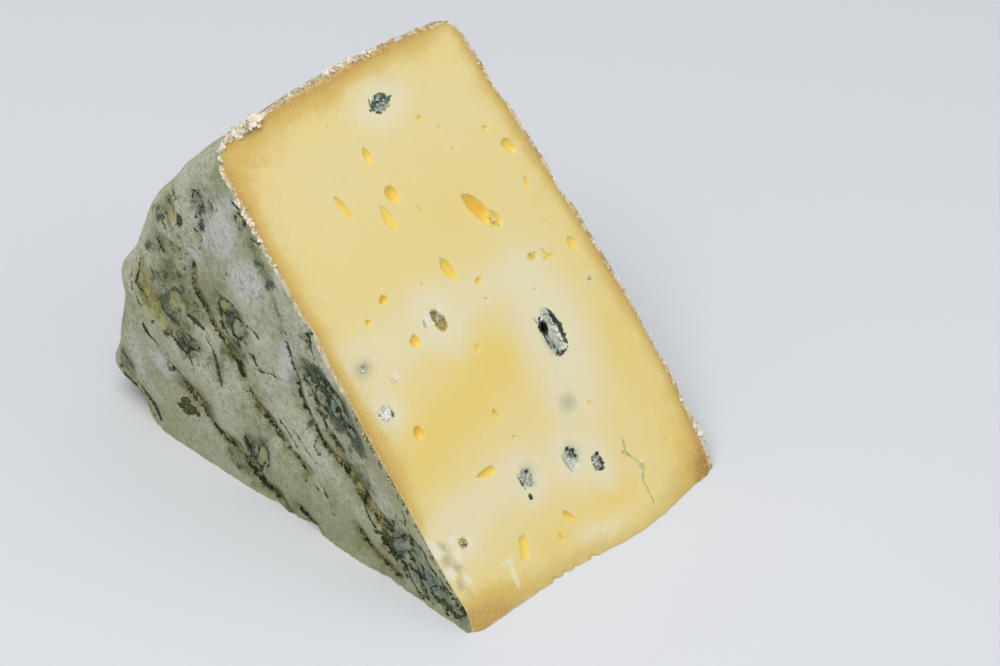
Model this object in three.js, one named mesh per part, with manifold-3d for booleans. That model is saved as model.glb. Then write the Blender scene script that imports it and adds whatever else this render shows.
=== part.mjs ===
// A wedge of natural-rind blue cheese, cut from a wheel and lying on one of its two cut faces.
// It is one solid. X runs along the wheel's axis, from the creased flat face to the smoother one.
// Y runs out from the tip edge to the wheel's outer wall, and Z is up.
// Sizes are in millimetres and angles in degrees. While it is being shaped, the tip edge is the
// X axis; at the end the origin moves to the middle of the resting face's box.

import * as THREE from 'three';
import { mergeVertices } from 'three/addons/utils/BufferGeometryUtils.js';
import Module from 'manifold-3d';

// The wheel and the two knife cuts.
const wheelRadius = 128.8;
const wheelHeight = 84;
const wedgeAngle = 48.7;
const knifeMiss = 1.5; // the cuts meet this far from the wheel's centre
const creasedRim = 8; // rounding between the creased face and the wall
const smoothRim = 5.5;
const wallBulge = 1.8;

// The smooth face swells into a low crown and falls away towards the rim and the tip.
const crownRadius = 35;
const rimDropAtFloor = 2.5;
const rimDropAtTop = 8;
const tipDrop = 3;

// How finely the wheel is faceted.
const turnSegments = 210;
const creasedSteps = 34;
const wallSteps = 18;
const smoothSteps = 20;

// The skin's gentle unevenness.
const swellHeight = 0.25;
const swellLength = 34;
const faceSkinDepth = 18; // relief of a flat face dies out this far into the wall

// Creases in the rind: from and to are Y, Z on the flat face, and bow is how far the line bends.
const creasedFolds = [
  { from: [66, 76], to: [27, 13], bow: 7.7, width: 2.4, depth: 2.2 },
  { from: [92, 58], to: [48, 14], bow: 5, width: 2.2, depth: 2 },
  { from: [97, 20], to: [62, 2], bow: 1, width: 2, depth: 1.3 },
  { from: [110, 33], to: [100, 22], bow: 0.5, width: 1.8, depth: 0.8 },
  { from: [40, 9], to: [26, 2], bow: 0.3, width: 1.8, depth: 1 },
  { from: [111, 52], to: [108, 31], bow: 1.5, width: 2, depth: 1.2 },
];
const smoothFolds = [
  { from: [104, 62], to: [58, 40], bow: -5, width: 2.6, depth: 1.6 },
  { from: [88, 22], to: [36, 12], bow: 4, width: 2.2, depth: 1.3 },
  { from: [113, 40], to: [92, 6], bow: 3, width: 2, depth: 1 },
];

// Hollows, and lumps where the depth is negative: at is Y, Z and size is the half-widths.
const creasedHollows = [
  { at: [103, 41], size: [6, 5], depth: 2.1 },
  { at: [77, 51], size: [5, 5], depth: 1.2 },
  { at: [72, 42], size: [4, 3], depth: 1 },
  { at: [52, 26], size: [3, 5], depth: 1 },
  { at: [96, 13], size: [4, 3], depth: 1.2 },
  { at: [72, 13], size: [5, 5], depth: 0.8 },
  { at: [119, 8], size: [5, 4], depth: -1.4 },
  { at: [21, 20], size: [6, 3], depth: -0.9 },
];
const smoothHollows = [
  { at: [72, 30], size: [8, 6], depth: 1.2 },
  { at: [96, 48], size: [6, 5], depth: 1.4 },
  { at: [50, 18], size: [5, 4], depth: 0.9 },
  { at: [108, 18], size: [6, 5], depth: -1 },
];

// Eyes in the upper cut: x, distance up from the tip edge, width, length, depth and lean.
const upperEyes = [
  { x: 46.8, up: 115.2, width: 6.5, length: 4.5, depth: 2.5, lean: 0 },
  { x: 36.8, up: 106.4, width: 2.4, length: 4.5, depth: 2, lean: -12 },
  { x: 37.8, up: 95.8, width: 3, length: 4.5, depth: 2.2, lean: 10 },
  { x: 33.8, up: 91.4, width: 3, length: 7, depth: 2, lean: 6 },
  { x: 56.6, up: 83.5, width: 5, length: 9, depth: 4, lean: 22 },
  { x: 41.4, up: 74.3, width: 2.6, length: 6, depth: 2.5, lean: -8 },
  { x: 32, up: 65.8, width: 3.5, length: 5, depth: 2.5, lean: 0 },
  { x: 8, up: 53.9, width: 4.5, length: 4, depth: 1.6, lean: 0 },
  { x: 58.7, up: 49.3, width: 8, length: 12, depth: 5, lean: -14 },
  { x: 33.2, up: 24.3, width: 4, length: 4, depth: 2, lean: 0 },
  { x: 24, up: 30.3, width: 5, length: 2.6, depth: 1.8, lean: 20 },
  { x: 47, up: 22.9, width: 4.5, length: 5.5, depth: 2.2, lean: 0 },
  { x: 52.8, up: 17.9, width: 4, length: 4, depth: 2.4, lean: 0 },
  { x: 23.2, up: 11, width: 3, length: 5.5, depth: 2, lean: 14 },
];

// The resting cut has eyes too, spread by a golden-angle spiral and kept off its middle.
const floorEyeCount = 10;
const floorMiddle = [42, 62];
const floorEyeReach = [30, 48];
const floorEyeSize = [3, 5.5];
const goldenAngle = 137.5;

const toRadians = THREE.MathUtils.degToRad;
const { clamp, lerp, smoothstep } = THREE.MathUtils;
const halfAngle = toRadians(wedgeAngle / 2);
const centreY = -knifeMiss * Math.cos(halfAngle);
const centreZ = -knifeMiss * Math.sin(halfAngle);

const cheeseMaterial = new THREE.MeshStandardMaterial({
  color: 0xe5cd76,
  roughness: 0.55,
  metalness: 0,
});

// ---- the wheel ----

// Half the wheel's outline: radius across, height up, from the centre of one face to the other.
function wheelProfile() {
  const wallRadius = wheelRadius - wallBulge;
  const creasedFace = new THREE.Path();
  creasedFace.moveTo(0, 0);
  creasedFace.lineTo(wallRadius - creasedRim, 0);
  const wall = new THREE.Path();
  wall.moveTo(wallRadius - creasedRim, 0);
  wall.absarc(wallRadius - creasedRim, creasedRim, creasedRim, -Math.PI / 2, 0, false);
  wall.quadraticCurveTo(
    wallRadius + 2 * wallBulge,
    wheelHeight / 2,
    wallRadius,
    wheelHeight - smoothRim,
  );
  wall.absarc(wallRadius - smoothRim, wheelHeight - smoothRim, smoothRim, 0, Math.PI / 2, false);
  const smoothFace = new THREE.Path();
  smoothFace.moveTo(wallRadius - smoothRim, wheelHeight);
  smoothFace.lineTo(0, wheelHeight);
  return [
    ...creasedFace.getSpacedPoints(creasedSteps),
    ...wall.getSpacedPoints(wallSteps).slice(1),
    ...smoothFace.getSpacedPoints(smoothSteps).slice(1),
  ];
}

// Depth of a crease at y, z: a groove along a shallow bow, fading at both ends.
function foldDepth(fold, y, z) {
  const runY = fold.to[0] - fold.from[0];
  const runZ = fold.to[1] - fold.from[1];
  const run = Math.hypot(runY, runZ);
  const fromY = y - fold.from[0];
  const fromZ = z - fold.from[1];
  const along = (fromY * runY + fromZ * runZ) / (run * run);
  const across = (fromZ * runY - fromY * runZ) / run;
  const inside = clamp(along, 0, 1);
  const bend = fold.bow * 4 * inside * (1 - inside);
  const miss = Math.hypot(across - bend, (along - inside) * run);
  const ends = smoothstep(inside, 0, 0.15) * (1 - smoothstep(inside, 0.8, 1));
  return fold.depth * ends * Math.exp(-((miss / fold.width) ** 2));
}

function hollowDepth(hollow, y, z) {
  const awayY = (y - hollow.at[0]) / hollow.size[0];
  const awayZ = (z - hollow.at[1]) / hollow.size[1];
  return hollow.depth * Math.exp(-(awayY * awayY) - awayZ * awayZ);
}

// Total relief of one flat face, positive into the cheese.
function faceRelief(folds, hollows, y, z) {
  const creased = folds.reduce((sum, fold) => sum + foldDepth(fold, y, z), 0);
  return hollows.reduce((sum, hollow) => sum + hollowDepth(hollow, y, z), creased);
}

function swell(a, b) {
  const turn = (2 * Math.PI) / swellLength;
  return swellHeight * (Math.sin(a * turn + b * 0.09) + Math.sin(b * turn * 1.3 - a * 0.11));
}

// How far the smooth face falls below its crown.
function crownDrop(radius, turn) {
  if (radius < crownRadius) {
    return tipDrop * (1 - radius / crownRadius) ** 2;
  }
  const outward = (radius - crownRadius) / (wheelRadius - crownRadius);
  return lerp(rimDropAtFloor, rimDropAtTop, turn) * outward ** 1.3;
}

// Moves one point of the plain wheel to where it lies on the real, handled one.
function settle(point) {
  const { x, y, z } = point;
  const radius = Math.hypot(y - centreY, z - centreZ);
  const turn = clamp(THREE.MathUtils.radToDeg(Math.atan2(z, Math.max(y, 0.1))) / wedgeAngle, 0, 1);
  const nearCreased = 1 - smoothstep(x, 0, faceSkinDepth);
  const nearSmooth = smoothstep(x, wheelHeight - faceSkinDepth, wheelHeight);
  const onWall = smoothstep(radius, wheelRadius - faceSkinDepth, wheelRadius);
  point.x -= crownDrop(radius, turn) * (x / wheelHeight);
  point.x += nearCreased * (faceRelief(creasedFolds, creasedHollows, y, z) + swell(y, z));
  point.x -= nearSmooth * (faceRelief(smoothFolds, smoothHollows, y, z) + swell(z, y));
  const stretch = 1 + (onWall * swell(x, y + z)) / Math.max(radius, 1);
  point.y = centreY + (y - centreY) * stretch;
  point.z = centreZ + (z - centreZ) * stretch;
}

function makeWheel() {
  const wheel = new THREE.LatheGeometry(wheelProfile(), turnSegments);
  wheel.rotateZ(-Math.PI / 2);
  wheel.translate(0, centreY, centreZ);
  const position = wheel.attributes.position;
  const point = new THREE.Vector3();
  for (let i = 0; i < position.count; i++) {
    point.fromBufferAttribute(position, i);
    settle(point);
    position.setXYZ(i, point.x, point.y, point.z);
  }
  return wheel;
}

// ---- what the knife leaves, and the eyes in it ----

// A prism over the wedge: its lower side is the resting cut and its upper side the leaning cut.
function makeKnifePrism() {
  const reach = wheelRadius * 1.5;
  const angle = toRadians(wedgeAngle);
  const section = new THREE.Shape();
  section.moveTo(0, 0);
  section.lineTo(reach, 0);
  section.lineTo(reach * Math.cos(angle), reach * Math.sin(angle));
  section.closePath();
  const prism = new THREE.ExtrudeGeometry(section, { depth: wheelHeight * 2, bevelEnabled: false });
  prism.translate(0, 0, -wheelHeight / 2);
  const xAxis = new THREE.Vector3(0, 1, 0);
  const yAxis = new THREE.Vector3(0, 0, 1);
  const zAxis = new THREE.Vector3(1, 0, 0);
  prism.applyMatrix4(new THREE.Matrix4().makeBasis(xAxis, yAxis, zAxis));
  return prism;
}

// An eye is a half-ellipsoid pit, with its mouth in a cut face tilted by slope degrees.
function makeEye(eye, slope) {
  const pit = new THREE.SphereGeometry(1, 10, 8);
  pit.scale(eye.width / 2, eye.length / 2, eye.depth);
  pit.rotateZ(toRadians(eye.lean));
  pit.translate(eye.x, eye.up, 0);
  pit.rotateX(toRadians(slope));
  return pit;
}

function floorEyes() {
  return Array.from({ length: floorEyeCount }, (unused, index) => {
    const spread = Math.sqrt((index + 2.5) / (floorEyeCount + 2.5));
    const angle = toRadians(index * goldenAngle);
    const size = lerp(floorEyeSize[0], floorEyeSize[1], (index * 0.37) % 1);
    return {
      x: floorMiddle[0] + floorEyeReach[0] * spread * Math.cos(angle),
      up: floorMiddle[1] + floorEyeReach[1] * spread * Math.sin(angle),
      width: size * 0.7,
      length: size,
      depth: size * 0.5,
      lean: index * 19,
    };
  });
}

// ---- solids ----

const wasm = await Module();
wasm.setup();

function toSolid(geometry) {
  const bare = geometry.clone();
  bare.deleteAttribute('normal');
  bare.deleteAttribute('uv');
  const merged = mergeVertices(bare, 1e-4);
  const mesh = new wasm.Mesh({
    numProp: 3,
    vertProperties: new Float32Array(merged.attributes.position.array),
    triVerts: new Uint32Array(merged.index.array),
  });
  return new wasm.Manifold(mesh);
}

function toGeometry(solid) {
  const mesh = solid.getMesh();
  const geometry = new THREE.BufferGeometry();
  geometry.setAttribute('position', new THREE.BufferAttribute(mesh.vertProperties, mesh.numProp));
  geometry.setIndex(new THREE.BufferAttribute(mesh.triVerts, 1));
  return geometry;
}

function makeWedge() {
  const wheel = toSolid(makeWheel());
  let wedge = wheel.intersect(toSolid(makeKnifePrism()));
  for (const eye of upperEyes) {
    wedge = wedge.subtract(toSolid(makeEye(eye, wedgeAngle)));
  }
  for (const eye of floorEyes()) {
    wedge = wedge.subtract(toSolid(makeEye(eye, 0)));
  }
  const geometry = toGeometry(wedge);
  geometry.computeBoundingBox();
  const middle = geometry.boundingBox.getCenter(new THREE.Vector3());
  geometry.translate(-middle.x, -middle.y, -geometry.boundingBox.min.z);
  geometry.computeVertexNormals();
  return geometry;
}

const cheeseWedge = new THREE.Mesh(makeWedge(), cheeseMaterial);
cheeseWedge.name = 'cheese_wedge';

const group = new THREE.Group();
group.add(cheeseWedge);

export default group;
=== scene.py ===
import math

import bmesh
import bpy
import numpy as np
from mathutils import Matrix, Vector


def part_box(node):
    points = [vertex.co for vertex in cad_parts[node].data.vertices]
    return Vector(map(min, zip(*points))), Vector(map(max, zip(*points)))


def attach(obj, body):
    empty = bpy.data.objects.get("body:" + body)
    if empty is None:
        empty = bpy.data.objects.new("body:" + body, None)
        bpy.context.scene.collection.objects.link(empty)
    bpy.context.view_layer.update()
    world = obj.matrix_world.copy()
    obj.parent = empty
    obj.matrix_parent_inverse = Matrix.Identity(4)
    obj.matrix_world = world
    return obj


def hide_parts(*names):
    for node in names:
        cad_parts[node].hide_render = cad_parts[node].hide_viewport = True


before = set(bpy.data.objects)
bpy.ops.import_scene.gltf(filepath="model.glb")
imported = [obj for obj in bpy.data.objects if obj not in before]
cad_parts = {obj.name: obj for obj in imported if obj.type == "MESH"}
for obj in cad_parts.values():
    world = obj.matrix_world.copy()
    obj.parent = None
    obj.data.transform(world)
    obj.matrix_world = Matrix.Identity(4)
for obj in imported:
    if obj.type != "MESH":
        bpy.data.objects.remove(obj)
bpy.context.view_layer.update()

lowCorner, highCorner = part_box("cheese_wedge")

# Everything is shaped in millimetres, with the tip edge as the X axis, X running from the creased
# face of the wheel to the smooth one. Each finished mesh is then put into the row frame.
wheel = {
    "radius": 128.8,
    "height": 84.0,
    "angle": 48.7,  # degrees between the two knife cuts
    "knifeMiss": 1.5,  # the cuts meet this far from the wheel's centre
    "creasedRim": 8.0,
    "smoothRim": 5.5,
    "wallBulge": 1.8,
    "crownRadius": 35.0,
    "rimDrop": (2.5, 8.0),  # how far the smooth face falls at the rim, at the floor and at the top
    "tipDrop": 3.0,
    "proud": 1.1,  # the creased face swells this far past its own plane
}
cutAngle = math.radians(wheel["angle"])
centreY = -wheel["knifeMiss"] * math.cos(cutAngle / 2)
centreZ = -wheel["knifeMiss"] * math.sin(cutAngle / 2)
toRow = (
    Matrix.Translation((lowCorner.x + wheel["proud"] / 1000, lowCorner.y, lowCorner.z))
    @ Matrix.Scale(0.001, 4)
)


def softStep(start, end, value):
    t = np.clip((value - start) / (end - start), 0, 1)
    return t * t * (3 - 2 * t)


def latticeNoise(points, cell, seed):
    # smooth noise from -1 to 1, with one value for each corner of a grid of cells
    place = points / cell + seed * 17.31
    corner = np.floor(place).astype(np.int64)
    part = place - corner
    part = part * part * (3 - 2 * part)
    total = np.zeros(len(points))
    for dx in (0, 1):
        for dy in (0, 1):
            for dz in (0, 1):
                key = (corner[:, 0] + dx) * 73856093
                key = key ^ ((corner[:, 1] + dy) * 19349663)
                key = key ^ ((corner[:, 2] + dz) * 83492791)
                key = (key ^ (key >> 13)) * 1274126177
                value = ((key ^ (key >> 16)) & 0xFFFF) / 32767.5 - 1
                share = np.where(dx, part[:, 0], 1 - part[:, 0])
                share = share * np.where(dy, part[:, 1], 1 - part[:, 1])
                share = share * np.where(dz, part[:, 2], 1 - part[:, 2])
                total += share * value
    return total


def layeredNoise(points, cell, seed, layers=3):
    total = np.zeros(len(points))
    for layer in range(layers):
        total += latticeNoise(points, cell / 2 ** layer, seed + layer) / 2 ** layer
    return total / (2 - 0.5 ** (layers - 1))


def meshPoints(mesh):
    points = np.zeros(len(mesh.vertices) * 3)
    mesh.vertices.foreach_get("co", points)
    return points.reshape(-1, 3)


def setMeshPoints(mesh, points):
    mesh.vertices.foreach_set("co", points.astype(np.float32).ravel())
    mesh.update()


def paintPoints(mesh, name, values):
    layer = mesh.attributes.new(name, "FLOAT", "POINT")
    layer.data.foreach_set("value", values.astype(np.float32))


# marks are bowed strokes and blobs on a flat piece of rind or paste
def stroke(a1, b1, a2, b2, bow, half):
    # a bowed line that thins towards its ends
    return {"start": (a1, b1), "end": (a2, b2), "bow": bow, "halves": (0.3 * half, half, 0.3 * half)}


def chain(places, halves):
    # straight strokes through the places, with a half-width at each
    links = []
    for index in range(len(places) - 1):
        low, high = halves[index], halves[index + 1]
        widths = (low, (low + high) / 2, high)
        links.append({"start": places[index], "end": places[index + 1], "bow": 0, "halves": widths})
    return links


def blob(a, b, wide, high, turn=0):
    return {"centre": (a, b), "wide": wide, "high": high, "turn": math.radians(turn)}


def strokePlace(mark, a, b):
    # signed distance across the stroke, distance past its ends and the stroke's half-width
    runA = mark["end"][0] - mark["start"][0]
    runB = mark["end"][1] - mark["start"][1]
    run = math.hypot(runA, runB)
    fromA = a - mark["start"][0]
    fromB = b - mark["start"][1]
    along = (fromA * runA + fromB * runB) / run ** 2
    across = (fromB * runA - fromA * runB) / run
    inside = np.clip(along, 0, 1)
    bend = mark["bow"] * 4 * inside * (1 - inside)
    low, middle, high = mark["halves"]
    half = low + (high - low) * inside + (middle - (low + high) / 2) * 4 * inside * (1 - inside)
    return across - bend, np.abs(along - inside) * run, half


def strokeGap(mark, a, b):
    # how far a point is outside the stroke, negative inside it
    across, over, half = strokePlace(mark, a, b)
    return np.hypot(across, over) - half


def blobGap(mark, a, b):
    fromA = a - mark["centre"][0]
    fromB = b - mark["centre"][1]
    cos, sin = math.cos(mark["turn"]), math.sin(mark["turn"])
    u = (fromA * cos + fromB * sin) / mark["wide"]
    v = (fromB * cos - fromA * sin) / mark["high"]
    return (np.hypot(u, v) - 1) * min(mark["wide"], mark["high"])


def marksGap(marks, a, b):
    nearest = np.full(len(a), 50.0)
    for mark in marks:
        gap = strokeGap(mark, a, b) if "start" in mark else blobGap(mark, a, b)
        nearest = np.minimum(nearest, gap)
    return nearest


def lineField(marks, a, b):
    # signed distance across the nearest stroke, and the half-width it has there, negative away from it
    nearest = np.full(len(a), 50.0)
    across = np.full(len(a), 50.0)
    width = np.full(len(a), -50.0)
    for mark in marks:
        offset, over, half = strokePlace(mark, a, b)
        gap = np.hypot(offset, over) - half
        closer = gap < nearest
        nearest = np.where(closer, gap, nearest)
        across = np.where(closer, offset, across)
        width = np.where(closer, half - over - np.clip(np.abs(offset) - 1.2, 0, None), width)
    return across, width


def wander(a, b, seed):
    # moves flat coordinates about a little, so that marks drawn with them are less even
    flat = np.stack([a, b, 0 * a], axis=1)
    shiftA = 0.5 * latticeNoise(flat, 7, seed) + 0.4 * latticeNoise(flat, 2.6, seed + 1)
    shiftB = 0.5 * latticeNoise(flat, 7, seed + 2) + 0.4 * latticeNoise(flat, 2.6, seed + 3)
    return a + shiftA, b + shiftB


def wheelProfile(inset, creasedStep, wallStep, smoothStep):
    # half the wheel's outline as X and radius, from near its centre on the creased face, round the
    # wall, to near its centre on the smooth face
    least = wheel["knifeMiss"] * 0.8
    wallRadius = wheel["radius"] - wheel["wallBulge"] - inset
    xLow, xHigh = inset, wheel["height"] - inset
    creasedRim, smoothRim = wheel["creasedRim"] - inset, wheel["smoothRim"] - inset
    outline = []
    count = round((wallRadius - creasedRim - least) / creasedStep)
    for radius in np.linspace(least, wallRadius - creasedRim, count, endpoint=False):
        outline.append((xLow, radius))
    count = max(4, round(creasedRim * math.pi / 2 / creasedStep))
    for angle in np.linspace(0, math.pi / 2, count, endpoint=False):
        x = xLow + creasedRim * (1 - math.cos(angle))
        outline.append((x, wallRadius - creasedRim * (1 - math.sin(angle))))
    wallLow, wallHigh = xLow + creasedRim, xHigh - smoothRim
    for t in np.linspace(0, 1, round((wallHigh - wallLow) / wallStep), endpoint=False):
        bulge = wheel["wallBulge"] * 4 * t * (1 - t)
        outline.append((wallLow + (wallHigh - wallLow) * t, wallRadius + bulge))
    count = max(4, round(smoothRim * math.pi / 2 / wallStep))
    for angle in np.linspace(0, math.pi / 2, count, endpoint=False):
        x = xHigh - smoothRim * (1 - math.sin(angle))
        outline.append((x, wallRadius - smoothRim * (1 - math.cos(angle))))
    count = round((wallRadius - smoothRim - least) / smoothStep)
    for radius in np.linspace(wallRadius - smoothRim, least, count):
        outline.append((xHigh, radius))
    return outline


def wheelSector(name, outline, turns, margin):
    # a closed sector of the wheel, a little wider than the wedge when margin is over 0 degrees
    shape = bmesh.new()
    start = math.radians(-margin)
    spine = []
    for x, radius in outline:
        y = centreY + radius * math.cos(start)
        z = centreZ + radius * math.sin(start)
        spine.append(shape.verts.new((x, y, z)))
    wires = [shape.edges.new(pair) for pair in zip(spine, spine[1:])]
    spun = bmesh.ops.spin(
        shape, geom=spine + wires, cent=(0, centreY, centreZ), axis=(1, 0, 0),
        angle=cutAngle + math.radians(2 * margin), steps=turns, use_merge=False,
    )
    lastSpine = [v for v in spun["geom_last"] if isinstance(v, bmesh.types.BMVert)]
    shape.edges.new((spine[0], spine[-1]))
    shape.edges.new((lastSpine[0], lastSpine[-1]))
    rims = [edge for edge in shape.edges if edge.is_boundary or edge.is_wire]
    bmesh.ops.holes_fill(shape, edges=rims, sides=0)
    bmesh.ops.recalc_face_normals(shape, faces=shape.faces)
    mesh = bpy.data.meshes.new(name)
    shape.to_mesh(mesh)
    shape.free()
    return mesh


def tipRod(inset):
    # the part of the wheel round its own centre, so that the tip edge may bulge past it
    low, high = inset, wheel["height"] - inset
    outline = [(low, radius) for radius in (0.05, 1.5, 3, 4.5, 6, 7.5)]
    outline += [(high, radius) for radius in (7.5, 6, 4.5, 3, 1.5, 0.05)]
    mesh = wheelSector("tipRod", outline, 72, 120)
    settleWheel(mesh, inset, False)
    return mesh


def wheelPlace(points):
    # radius from the wheel's centre, and turn: 0 at the floor cut and 1 at the upper cut
    y = points[:, 1]
    z = points[:, 2]
    radius = np.hypot(y - centreY, z - centreZ)
    turn = np.clip(np.arctan2(z, np.maximum(y, 0.1)) / cutAngle, 0, 1)
    return radius, turn


def crownDrop(radius, turn):
    outward = np.clip(radius - wheel["crownRadius"], 0, None)
    outward = outward / (wheel["radius"] - wheel["crownRadius"])
    floorDrop, topDrop = wheel["rimDrop"]
    inward = np.clip(1 - radius / wheel["crownRadius"], 0, 1)
    return (floorDrop + (topDrop - floorDrop) * turn) * outward ** 1.3 + wheel["tipDrop"] * inward ** 2


def smoothFaceShift(x, radius, turn):
    # how much nearer to the creased face a point of the swollen wheel lies
    return crownDrop(radius, turn) * x / wheel["height"]


def plainX(points):
    # where x would be on the plain, uncrowned wheel
    radius, turn = wheelPlace(points)
    return points[:, 0] / (1 - crownDrop(radius, turn) / wheel["height"])


# sizes of the rind in millimetres
rind = {
    "thickness": 0.85,
    "steps": (0.66, 0.85, 0.95),  # spacing of points on the creased face, the wall and the smooth face
    "turns": 164,
    "coreSteps": (1.6, 1.6, 1.6),
    "coreTurns": 60,
    "creaseDepth": 1.0,
    "valleyDepth": 1.1,
    "valleyWidth": 3.4,
    "chipDepth": 0.7,  # bites out of the rind's edge along the knife cuts
    "faceReach": 5.0,  # marks of a flat face carry on this far round its rim
}

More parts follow.
